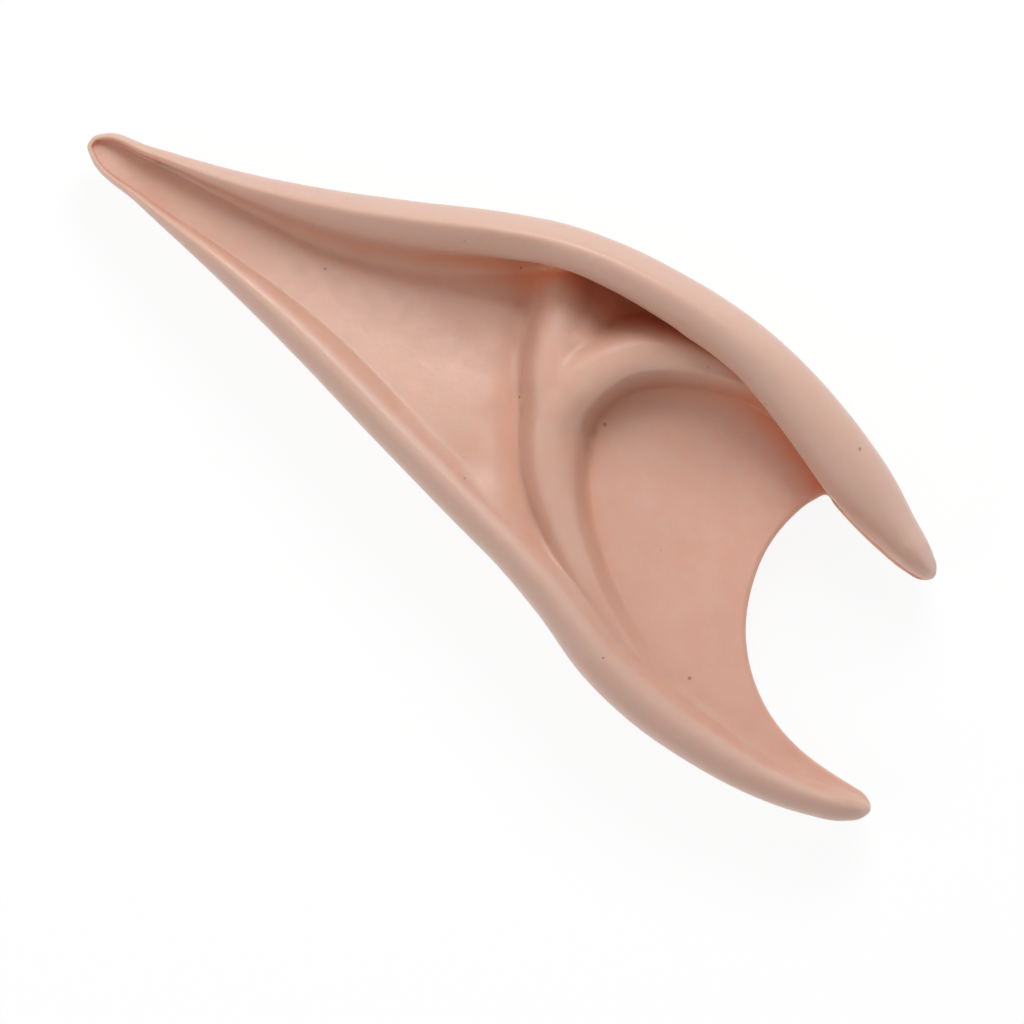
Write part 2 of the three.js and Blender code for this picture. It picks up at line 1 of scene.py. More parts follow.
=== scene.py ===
"""Elf ear tip: a slip-on ear of cast latex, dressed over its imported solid."""

import math

import bpy
import numpy as np
from bpy.props import FloatProperty, FloatVectorProperty, IntProperty, PointerProperty
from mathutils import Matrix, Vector


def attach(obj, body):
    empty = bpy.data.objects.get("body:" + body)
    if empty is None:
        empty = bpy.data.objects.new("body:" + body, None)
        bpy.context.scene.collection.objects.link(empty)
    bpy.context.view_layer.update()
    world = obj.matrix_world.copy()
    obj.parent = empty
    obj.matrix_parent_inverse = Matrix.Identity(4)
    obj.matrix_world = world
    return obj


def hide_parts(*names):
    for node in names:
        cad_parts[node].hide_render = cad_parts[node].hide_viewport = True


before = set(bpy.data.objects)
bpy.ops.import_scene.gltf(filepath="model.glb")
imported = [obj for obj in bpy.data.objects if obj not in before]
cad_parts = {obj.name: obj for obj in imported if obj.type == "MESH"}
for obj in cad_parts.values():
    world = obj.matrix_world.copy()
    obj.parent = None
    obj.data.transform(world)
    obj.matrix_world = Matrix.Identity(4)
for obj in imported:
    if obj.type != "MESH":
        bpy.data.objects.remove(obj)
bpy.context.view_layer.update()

bl_info = {
    "name": "Elf ear tip",
    "version": (1, 0, 0),
    "blender": (4, 5, 0),
    "location": "View3D > Sidebar > Elf Ear",
    "description": "Builds the skin, latex finish and studio of a slip-on elf ear",
    "category": "Object",
}

# Units of the width columns in the tables below, in metres
RIM_WIDTH = 0.008
BACK_ROUND = 0.012
MOUTH_INSET = 0.008
HOLLOW_START = 0.008
RIDGE_WIDTH = 0.008

# Nominal sizes that the shares in the tables count from, in metres
EAR_LENGTH = 0.1024
EAR_HEIGHT = 0.083
EAR_DEPTH = 0.026

# Share of the fall from crest to edge at the rim's shoulder, where it overhangs and where it opens softly, and
# the difference in metres between fold and edge over which the second takes over from the first
OVERHANG_SHOULDER = 0.36
OPEN_SHOULDER = 0.58
SHOULDER_REACH = 0.002

# How quickly the heights and widths swell from the round ends, against an even rise, how the rows crowd there,
# and how far to each side of a row, in stations, the rim's direction is measured
HEIGHT_SWELL = 2.0
WIDTH_SWELL = 1.2
END_CROWDING = 1.7
PLACE_STEP = 0.01

# Runs over the front skin: how much closer their cuts lie near the forked ridge, how near that is in metres, in
# how many pieces the runs are measured, and their nearest turn, counted in the fold's distance from the rim
RIDGE_CLOSENESS = 1.6
RIDGE_REACH = 0.007
MEASURED_PIECES = 120
NEAREST_TURN = 1.02

# Cuts over the trimmed edge at the mouth, and the largest share of a run's last part that its rounding takes
EDGE_CUTS = 5
EDGE_SHARE = 0.35

# Section of the rolled rim: its parts, the shares of the way and of the rise to the crest at which it bends over,
# and the share of the way from crest to edge at its shoulder
ROLL_PARTS = 5
BEND_AT = 0.27
BEND_RISE = 0.72
SHOULDER_AT = 0.7

# How soon the flat back reaches its height at the mouth, and the least way in metres of its round edge's inside
BACK_SETTLING = 1.6
LEAST_ROUND_WAY = 0.0012

# Where the ball that rolls under the skin is felt: shares of its radius, and directions round it
BALL_SHARES = (0.5, 0.9)
BALL_TURNS = 8

# The hollow's roof on its way to the fold: how far in metres the rim's edge hangs over the fold where the rim
# counts as closed, the least way in metres in the elf tip and elsewhere, the places on the way, the cuts between
# them, how soon the roof reaches its height under a closed rim, and that height as a share from fold to crest
OVERHANG_REACH = 0.001
LEAST_WAY_IN_TIP = 0.0025
LEAST_WAY = 0.0004
ROOF_SHARES = (0.3, 0.62)
ROOF_CUTS = 4
ROOF_SETTLING = 2
ROOF_RISE = 0.35

# The hollow's roof past the fold: the share of its run at which it turns, how far it may leave the fold's height,
# in walls, in metres along the run and in metres under an open rim, and how far it stays above the rounded back,
# in walls, and gives way along the run, in metres
INNER_TURN = 0.1
FOLD_SLACK = 0.2
RUN_SLACK = 0.1
OPEN_SLACK = 0.01
BACK_GAP = 0.4
BACK_SLACK = 0.05

# Least values that divisions and logarithms get
TINY = 1e-12
LEAST_ROUND = 1e-6
LEAST_WEIGHT = 1e-6

# The sheets of heights are solved in millimetres
MILLIMETRES = 1000

# Relief of level skin, and the width in metres of the cells in which the heights round a point are averaged
LEVEL = 0.5
RELIEF_CELL = 0.001

# Edge of the mouth, from the upper tongue's end up to the notch and down to the lobe's end
MOUTH_ROWS = (
    (0.996, 0.353),
    (0.982, 0.35),
    (0.962, 0.363),
    (0.933, 0.392),
    (0.9, 0.431),
    (0.879, 0.459),
    (0.87, 0.473),
    (0.853, 0.465),
    (0.825, 0.437),
    (0.8, 0.397),
    (0.782, 0.343),
    (0.774, 0.279),
    (0.781, 0.216),
    (0.803, 0.155),
    (0.837, 0.106),
    (0.877, 0.069),
    (0.9, 0.051),
    (0.915, 0.038),
    (0.922, 0.017),
)
POINT_UNITS = (EAR_LENGTH, EAR_HEIGHT)

# The rim, station by station, from the upper tongue over the crown to the elf tip and back along the lower rim to
# the lobe. Places are shares of the ear's length and height, heights are shares of its depth, and mouth_at is the
# place on the mouth's edge that lies opposite, counted in its rows.
RIM_COLUMNS = (
    "along", "up", "mouth_at",
    "crest_at", "edge_at", "fold_at",
    "side", "crest", "edge", "fold", "lip",
    "skin", "round", "base", "inset", "hollow_at", "hollow",
)
RIM_UNITS = (
    EAR_LENGTH, EAR_HEIGHT, 1,
    RIM_WIDTH, RIM_WIDTH, RIM_WIDTH,
    EAR_DEPTH, EAR_DEPTH, EAR_DEPTH, EAR_DEPTH, EAR_DEPTH,
    1, BACK_ROUND, EAR_DEPTH, MOUTH_INSET, HOLLOW_START, 1,
)
RIM_ROWS = (
    (0.996, 0.353, 0, 0, 0, 0, 0.25, 0.25, 0.25, 0.25, 0.25, 0, 0, 0.162, 0, 0.188, 0.05),
    (0.999, 0.369, 1, 0.138, 0.263, 0.25, 0.254, 0.4, 0.331, 0.238, 0.208, 0, 0.1, 0.096, 0.062, 0.188, 0.08),
    (0.994, 0.389, 2, 0.237, 0.45, 0.438, 0.277, 0.485, 0.392, 0.238, 0.185, 0, 0.167, 0.073, 0.125, 0.188, 0.4),
    (0.971, 0.444, 3, 0.35, 0.675, 0.65, 0.331, 0.569, 0.462, 0.254, 0.177, 0, 0.267, 0.054, 0.188, 0.188, 0.9),
    (0.946, 0.502, 4, 0.438, 0.9, 0.838, 0.4, 0.646, 0.546, 0.285, 0.2, 0.1, 0.367, 0.035, 0.225, 0.188, 1),
    (0.917, 0.554, 5, 0.463, 0.988, 0.8, 0.462, 0.715, 0.615, 0.323, 0.262, 0.6, 0.483, 0.015, 0.325, 0.188, 1),
    (0.884, 0.605, 6.4, 0.438, 0.938, 0.713, 0.523, 0.777, 0.677, 0.346, 0.331, 1, 0.583, 0.004, 0.5, 0.188, 1),
    (0.843, 0.66, 7.08, 0.412, 0.875, 0.65, 0.569, 0.831, 0.731, 0.365, 0.346, 1, 0.708, 0, 0.75, 0.188, 1),
    (0.8, 0.708, 7.45, 0.388, 0.812, 0.588, 0.608, 0.885, 0.777, 0.365, 0.346, 1, 0.833, 0, 0.938, 0.188, 1),
    (0.75, 0.753, 7.7, 0.362, 0.762, 0.537, 0.631, 0.931, 0.815, 0.385, 0.346, 1, 0.958, 0, 1, 0.188, 1),
    (0.696, 0.792, 7.97, 0.338, 0.713, 0.512, 0.646, 0.962, 0.842, 0.385, 0.346, 1, 1, 0, 1, 0.188, 1),
    (0.638, 0.828, 8.17, 0.325, 0.675, 0.525, 0.654, 0.985, 0.862, 0.385, 0.346, 1, 1, 0, 1, 0.188, 1),
    (0.567, 0.86, 8.36, 0.312, 0.637, 0.675, 0.646, 1, 0.869, 0.423, 0.346, 1, 1, 0, 1, 0.188, 1),
    (0.485, 0.88, 8.52, 0.3, 0.613, 0.925, 0.631, 0.985, 0.846, 0.423, 0.346, 1, 1, 0, 1, 0.188, 1),
    (0.392, 0.894, 8.65, 0.287, 0.6, 1, 0.592, 0.923, 0.8, 0.423, 0.346, 1, 0.917, 0, 1, 0.188, 1),
    (0.286, 0.913, 8.76, 0.263, 0.512, 0.85, 0.546, 0.823, 0.723, 0.423, 0.346, 1, 0.667, 0.015, 1, 0.188, 1),
    (0.181, 0.94, 8.86, 0.2, 0.338, 0.487, 0.469, 0.677, 0.6, 0.423, 0.346, 1, 0.3, 0.046, 1, 0.188, 1),
    (0.075, 0.978, 8.93, 0.106, 0.163, 0.2, 0.362, 0.477, 0.431, 0.423, 0.346, 1, 0.142, 0.1, 1, 0.275, 1),
    (0.021, 0.998, 8.98, 0.062, 0.1, 0.125, 0.292, 0.381, 0.358, 0.346, 0.346, 1, 0.083, 0.154, 1, 0.75, 1),
    (0.007, 0.993, 9, 0.052, 0.081, 0.1, 0.277, 0.362, 0.346, 0.346, 0.346, 1, 0.071, 0.169, 1, 0.875, 1),
    (0, 0.98, 9.03, 0.05, 0.077, 0.094, 0.269, 0.358, 0.342, 0.346, 0.346, 1, 0.067, 0.173, 1, 0.938, 1),
    (0.004, 0.963, 9.06, 0.052, 0.081, 0.1, 0.277, 0.362, 0.346, 0.346, 0.346, 1, 0.071, 0.169, 1, 0.875, 1),
    (0.061, 0.894, 9.12, 0.094, 0.144, 0.181, 0.338, 0.462, 0.431, 0.423, 0.346, 1, 0.125, 0.1, 1, 0.3, 1),
    (0.145, 0.797, 9.27, 0.225, 0.35, 0.425, 0.385, 0.577, 0.538, 0.5, 0.346, 1, 0.283, 0.038, 1, 0.188, 1),
    (0.239, 0.682, 9.5, 0.325, 0.512, 0.675, 0.446, 0.638, 0.6, 0.538, 0.346, 1, 0.583, 0.012, 1, 0.188, 1),
    (0.333, 0.56, 9.85, 0.362, 0.562, 0.75, 0.462, 0.669, 0.631, 0.577, 0.346, 1, 0.833, 0, 1, 0.188, 1),
    (0.427, 0.44, 10.25, 0.375, 0.575, 0.762, 0.469, 0.685, 0.65, 0.577, 0.346, 1, 0.958, 0, 1, 0.188, 1),
    (0.488, 0.363, 10.7, 0.388, 0.575, 0.725, 0.469, 0.685, 0.65, 0.577, 0.346, 1, 1, 0, 1, 0.188, 1),
    (0.532, 0.297, 11.2, 0.412, 0.6, 0.725, 0.462, 0.669, 0.635, 0.577, 0.346, 1, 1, 0, 1, 0.188, 1),
    (0.579, 0.216, 11.8, 0.45, 0.65, 0.775, 0.438, 0.638, 0.6, 0.538, 0.346, 1, 0.875, 0, 0.938, 0.188, 1),
    (0.638, 0.145, 12.42, 0.475, 0.7, 0.825, 0.412, 0.592, 0.546, 0.5, 0.346, 1, 0.75, 0, 0.75, 0.188, 1),
    (0.708, 0.085, 13.06, 0.463, 0.65, 0.762, 0.377, 0.546, 0.5, 0.462, 0.346, 1, 0.583, 0.004, 0.5, 0.188, 1),
    (0.778, 0.039, 13.85, 0.412, 0.562, 0.65, 0.342, 0.5, 0.462, 0.423, 0.331, 0.9, 0.417, 0.015, 0.325, 0.188, 1),
    (0.841, 0.011, 14.72, 0.35, 0.463, 0.537, 0.292, 0.469, 0.438, 0.408, 0.315, 0.6, 0.3, 0.035, 0.225, 0.188, 0.9),
    (0.89, 0, 16, 0.263, 0.375, 0.425, 0.269, 0.431, 0.4, 0.369, 0.292, 0.2, 0.2, 0.054, 0.15, 0.188, 0.4),
    (0.911, 0.004, 17, 0.163, 0.25, 0.275, 0.254, 0.369, 0.338, 0.308, 0.269, 0, 0.117, 0.073, 0.075, 0.188, 0.08),
    (0.922, 0.017, 18, 0, 0, 0, 0.242, 0.242, 0.242, 0.242, 0.242, 0, 0, 0.154, 0, 0.188, 0.05),
)

# Heights of the front skin outside the bowl: the valley, the upper hollow and the foot of the lower rim
OUTER_ROWS = (
    (0.016, 0.978, 0.319),
    (0.063, 0.939, 0.354),
    (0.093, 0.919, 0.392),
    (0.183, 0.88, 0.454),
    (0.284, 0.821, 0.462),
    (0.392, 0.797, 0.446),
    (0.485, 0.786, 0.431),
    (0.542, 0.783, 0.408),
    (0.181, 0.815, 0.496),
    (0.274, 0.709, 0.558),
    (0.368, 0.601, 0.6),
    (0.321, 0.76, 0.5),
    (0.438, 0.702, 0.5),
    (0.45, 0.514, 0.615),
    (0.497, 0.748, 0.462),
    (0.487, 0.685, 0.5),
    (0.482, 0.615, 0.546),
    (0.485, 0.543, 0.581),
    (0.497, 0.485, 0.596),
    (0.513, 0.436, 0.596),
    (0.53, 0.754, 0.431),
    (0.517, 0.687, 0.477),
    (0.509, 0.615, 0.504),
    (0.509, 0.557, 0.515),
    (0.513, 0.499, 0.531),
    (0.525, 0.441, 0.546),
    (0.542, 0.402, 0.569),
    (0.574, 0.695, 0.654),
    (0.593, 0.698, 0.631),
    (0.577, 0.734, 0.585),
    (0.593, 0.76, 0.477),
    (0.612, 0.728, 0.508),
    (0.628, 0.76, 0.362),
    (0.647, 0.728, 0.346),
    (0.691, 0.702, 0.331),
    (0.734, 0.676, 0.346),
    (0.778, 0.641, 0.362),
    (0.558, 0.372, 0.592),
    (0.585, 0.294, 0.577),
    (0.649, 0.203, 0.523),
    (0.732, 0.13, 0.462),
    (0.814, 0.085, 0.423),
)

# Heights of the bowl's floor
BOWL_ROWS = (
    (0.819, 0.572, 0.346),
    (0.72, 0.618, 0.331),
    (0.638, 0.586, 0.342),
    (0.6, 0.514, 0.377),
    (0.597, 0.427, 0.408),
    (0.62, 0.34, 0.431),
    (0.661, 0.253, 0.442),
    (0.708, 0.181, 0.442),
    (0.767, 0.123, 0.431),
    (0.837, 0.082, 0.408),
    (0.72, 0.499, 0.354),
    (0.685, 0.369, 0.392),
    (0.778, 0.326, 0.4),
    (0.778, 0.21, 0.415),
    (0.855, 0.473, 0.362),
    (0.802, 0.405, 0.385),
    (0.879, 0.47, 0.331),
)
PLACE_UNITS = (EAR_LENGTH, EAR_HEIGHT, EAR_DEPTH)

# Crest of the forked ridge: along, up, height, and the reach of its left and right flanks
LOWER_ARM_ROWS = (
    (0.792, 0.618, 0.481, 0.325, 0.2),
    (0.761, 0.644, 0.592, 0.362, 0.225),
    (0.72, 0.667, 0.654, 0.4, 0.237),
    (0.679, 0.682, 0.688, 0.425, 0.25),
    (0.644, 0.683, 0.708, 0.425, 0.263),
    (0.612, 0.67, 0.715, 0.425, 0.287),
    (0.579, 0.644, 0.715, 0.425, 0.3),
    (0.551, 0.612, 0.708, 0.425, 0.25),
    (0.537, 0.572, 0.696, 0.425, 0.225),
    (0.536, 0.528, 0.688, 0.425, 0.225),
    (0.541, 0.485, 0.681, 0.4, 0.225),
    (0.551, 0.446, 0.669, 0.375, 0.225),
    (0.565, 0.405, 0.654, 0.312, 0.237),
    (0.583, 0.359, 0.631, 0.3, 0.25),
    (0.605, 0.308, 0.592, 0.3, 0.25),
    (0.635, 0.246, 0.535, 0.287, 0.25),
)
UPPER_ARM_ROWS = (
    (0.537, 0.531, 0.638, 0.225, 0.35),
    (0.537, 0.572, 0.662, 0.225, 0.375),
    (0.537, 0.609, 0.685, 0.225, 0.45),
    (0.538, 0.644, 0.696, 0.225, 0.475),
    (0.541, 0.677, 0.692, 0.225, 0.475),
    (0.546, 0.711, 0.677, 0.225, 0.425),
    (0.553, 0.742, 0.65, 0.225, 0.375),
    (0.559, 0.771, 0.6, 0.212, 0.312),
    (0.567, 0.8, 0.508, 0.212, 0.275),
)
RIDGE_UNITS = (EAR_LENGTH, EAR_HEIGHT, EAR_DEPTH, RIDGE_WIDTH, RIDGE_WIDTH)

# Outline of the bowl, from the mouth's upper corner round to the lobe
OUTLINE_ROWS = (
    (0.849, 0.54),
    (0.814, 0.595),
    (0.776, 0.621),
    (0.743, 0.635),
    (0.702, 0.644),
    (0.667, 0.644),
    (0.638, 0.635),
    (0.614, 0.618),
    (0.594, 0.593),
    (0.583, 0.562),
    (0.578, 0.525),
    (0.577, 0.485),
    (0.581, 0.441),
    (0.591, 0.395),
    (0.605, 0.347),
    (0.62, 0.308),
    (0.638, 0.271),
    (0.66, 0.232),
    (0.694, 0.185),
    (0.737, 0.143),
    (0.792, 0.106),
    (0.855, 0.062),
    (0.925, 0.019),
)

# The pale tint of painted sheen on the rim's outer face: where it has faded out, counted in stations of the rim's
# section from its side, over how many stations it fades, and how many cuts next to the mouth's trimmed edge stay
# without a painted tint
PALE_END = 2.7
PALE_FADE = 1.5
TRIMMED_STEPS = 9

# Detail, roughness and range of the mottle's clouds
CLOUD_DETAIL = 3.0
CLOUD_ROUGHNESS = 0.55
CLOUD_RANGE = (0.32, 0.68)

# Full part of a speck, as a share of its size, and its soft border, in cells
SPECK_CORE = 0.5
SPECK_BORDER = 0.01

# Detail of the grain, and the weights of its fine grain and its waves
GRAIN_DETAIL = 2.0
GRAIN_WEIGHT = 0.35
WAVE_WEIGHT = 1.0

# Reliefs over which the pale tint of painted sheen and the dark tint of painted shade set in, and the shares of the
# fine mottle and of the dark specks
PAINTED_SHEEN_RANGE = (0.5, 0.75)
PAINTED_SHADE_RANGE = (0.46, 0.0)
FINE_TINT = 0.35
SPECK_TINT = 0.55

# How far the roughness falls and rises with the mottle, the pinholes' height against the grain's, and the bump
SMOOTHER = 0.05
ROUGHER = 0.06
PIT_HEIGHT = -0.8
BUMP_STRENGTH = 0.5
BUMP_HEIGHT = 0.00012

# How far red, green and blue light travel inside the latex, against its glow depth, and its gloss
GLOW_REACH = (1.0, 0.42, 0.22)
GLOSS = 0.55
REFRACTION = 1.45

# The studio's lights: name, setting of the power, width and place in metres; they all point at the same place
LIGHTS = (
    ("Key", "key_power", 0.24, (0.09, 0.31, 0.355)),
    ("Fill", "fill_power", 0.5, (0.0, -0.1, 0.7)),
    ("Side", "side_power", 0.4, (-0.40, -0.10, 0.30)),
)
LIT_PLACE = (0, 0, 0.01)

# Half the floor's width in metres, its roughness and its gloss
FLOOR_REACH = 3.0
FLOOR_ROUGHNESS = 0.9
FLOOR_GLOSS = 0.1

# The camera's shift along y, the height that its picture's width is measured at, and its clipping, in metres
CAMERA_SHIFT = -0.0042
MIDDLE_HEIGHT = 0.012
CLIP_NEAR = 0.01
CLIP_FAR = 10


def step_in(t):
    """A soft step from 0 to 1."""
    t = np.clip(t, 0.0, 1.0)
    return t * t * (3 - 2 * t)


def mix(a, b, t):
    return a + (b - a) * t


def unit(vectors):
    return vectors / np.linalg.norm(vectors, axis=-1, keepdims=True)


def smooth_curve(points, places, knot_values=2, start=None, end=None):
    """Points on smooth curves through points (..., n, d), at places counted in knots."""
    gap = np.linalg.norm(np.diff(points[..., :knot_values], axis=-2), axis=-1)[..., None]
    steps = np.diff(points, axis=-2) / gap
    before, after = gap[..., :-1, :], gap[..., 1:, :]
    inner = (steps[..., :-1, :] * after + steps[..., 1:, :] * before) / (before + after)
    first = steps[..., :1, :] if start is None else np.broadcast_to(start, steps[..., :1, :].shape)
    last = steps[..., -1:, :] if end is None else np.broadcast_to(end, steps[..., -1:, :].shape)
    slopes = np.concatenate([first, inner, last], axis=-2)
    i = np.minimum(np.floor(places).astype(int), points.shape[-2] - 2)
    t = (places - i)[:, None]
    p, q = points[..., i, :], points[..., i + 1, :]
    out, into = slopes[..., i, :] * gap[..., i, :], slopes[..., i + 1, :] * gap[..., i, :]
    bend = t * t * (3 * (q - p) - 2 * out - into)
    return p + t * out + bend + t * t * t * (2 * (p - q) + out + into)


def heights_through(rows):
    """A soft sheet of heights through scattered places, as a function of x and y."""
    x, y, z = (np.array(rows) * PLACE_UNITS).T * MILLIMETRES

    def bend(ax, ay):
        squared = (ax[:, None] - x) ** 2 + (ay[:, None] - y) ** 2
        return squared * np.log(np.maximum(squared, TINY))

    flat = np.stack([np.ones_like(x), x, y], axis=1)
    matrix = np.block([[bend(x, y), flat], [flat.T, np.zeros((3, 3))]])
    weights = np.linalg.solve(matrix, np.concatenate([z, np.zeros(3)]))

    def height(places):
        px, py = places[:, 0] * MILLIMETRES, places[:, 1] * MILLIMETRES
        sheet = bend(px, py) @ weights[:-3] + weights[-3] + weights[-2] * px + weights[-1] * py
        return sheet / MILLIMETRES

    return height


def stations(rows, units, cuts=4):
    """A table's rows in metres, as a smooth line with cuts between them."""
    points = np.array(rows) * units
    last = len(points) - 1
    return smooth_curve(points, np.linspace(0, last, last * cuts + 1))


def nearest(line, places):
    """Distance to a line of stations, the side (from 1 on its left to -1 on its right) and its values there."""
    a, b = line[:-1, :2], np.diff(line[:, :2], axis=0)
    offset = places[:, None, :] - a
    t = np.clip((offset * b).sum(-1) / (b * b).sum(-1), 0, 1)
    gap = offset - t[..., None] * b
    distance = np.hypot(gap[..., 0], gap[..., 1])
    i = distance.argmin(axis=1)
    row = np.arange(len(places))
    least = distance[row, i]
    turned = b[i, 0] * offset[row, i, 1] - b[i, 1] * offset[row, i, 0]
    side = turned / (np.hypot(b[i, 0], b[i, 1]) * np.maximum(least, TINY))
    return least, side, mix(line[i], line[i + 1], t[row, i][:, None])


class FrontSkin:
    """The height of the ear's front between its rims."""

    def __init__(self, sizes):
        self.outer = heights_through(OUTER_ROWS)
        self.bowl = heights_through(BOWL_ROWS)
        self.lower_arm = stations(LOWER_ARM_ROWS, RIDGE_UNITS)
        self.upper_arm = stations(UPPER_ARM_ROWS, RIDGE_UNITS)
        self.outline = stations(OUTLINE_ROWS, POINT_UNITS)
        self.sizes = sizes

    def higher(self, a, b):
        """The higher of two heights, blended softly where they meet."""
        return (a + b + np.hypot(a - b, self.sizes.ridge_blend)) / 2

    def ridge(self, arm, places):
        distance, side, values = nearest(arm, places)
        reach = mix(values[:, 4], values[:, 3], (side + 1) / 2)
        return values[:, 2] - self.sizes.ridge_drop * (distance / reach) ** self.sizes.ridge_fullness

    def reach(self, places):
        return np.minimum(nearest(self.lower_arm, places)[0], nearest(self.upper_arm, places)[0])

    def height(self, places):
        flat = places.reshape(-1, 2)
        sizes = self.sizes
        distance, side, _ = nearest(self.outline, flat)
        step_width = sizes.bowl_outside + sizes.bowl_inside
        inside = step_in((side * distance + sizes.bowl_outside) / step_width)
        arms = self.higher(self.ridge(self.lower_arm, flat), self.ridge(self.upper_arm, flat))
        ground = mix(self.higher(self.outer(flat), arms), self.bowl(flat), inside)
        return ground.reshape(places.shape[:-1])

    def under(self, places, wall):
        """The height of a ball of the wall's size that rolls under the skin."""
        lowest = self.height(places) - wall
        for share in BALL_SHARES:
            depth = wall * math.sqrt(1 - share * share)
            for k in range(BALL_TURNS):
                turn = 2 * math.pi * k / BALL_TURNS
                shift = np.array([math.cos(turn), math.sin(turn)]) * share * wall
                lowest = np.minimum(lowest, self.height(places + shift) - depth)
        return lowest


def runs_between(start, through, end):
    """Curved runs over the skin that leave the rim squarely, as a function of shares (rows, n)."""
    a, b, c = start[:, None], through[:, None], end[:, None]

    def run(t):
        t = t[..., None]
        return mix(mix(a, b, t), mix(b, c, t), t)

    return run


def shares_of(run, rows, count, skin):
    """Shares at which each run is cut, closer together near the forked ridge."""
    edges = np.broadcast_to(np.linspace(0, 1, MEASURED_PIECES + 1), (rows, MEASURED_PIECES + 1))
    points = run(edges)
    middles = run((edges[:, :-1] + edges[:, 1:]) / 2)
    near = skin.reach(middles.reshape(-1, 2)).reshape(rows, MEASURED_PIECES)
    length = np.linalg.norm(np.diff(points, axis=1), axis=-1)
    weight = length * (1 + RIDGE_CLOSENESS * np.exp(-((near / RIDGE_REACH) ** 2)))
    sums = np.concatenate([np.zeros((rows, 1)), np.cumsum(weight, axis=1)], axis=1)
    wanted = np.linspace(0, 1, count + 1)
    return np.array([np.interp(wanted * s[-1], s, edges[0]) for s in sums])


def plan(points, heights):
    """Places seen from above, with their heights."""
    return np.concatenate([points, heights[..., None]], axis=-1)


def end_slope(end, after, across, way):
    """Slopes at an end of the rim, which runs on into the mouth's edge there, while the rest swells."""
    reach = np.linalg.norm(after[:2] - end[:2])
    swell = np.where(np.array(RIM_UNITS) == EAR_DEPTH, HEIGHT_SWELL, WIDTH_SWELL)
    slope = way * swell * (after - end) / reach
    slope[:2] = way * across
    return slope


def under_roll(roll, distance, wall):
    """Height of a ball of the wall's size that rolls under the rim, at a distance from it, for each row."""
    aside = np.abs(roll[..., 0] - distance)
    height = roll[..., 1] - np.sqrt(np.maximum(wall * wall - aside**2, 0))
    return np.where(aside < wall, height, np.inf).min(axis=1, keepdims=True)


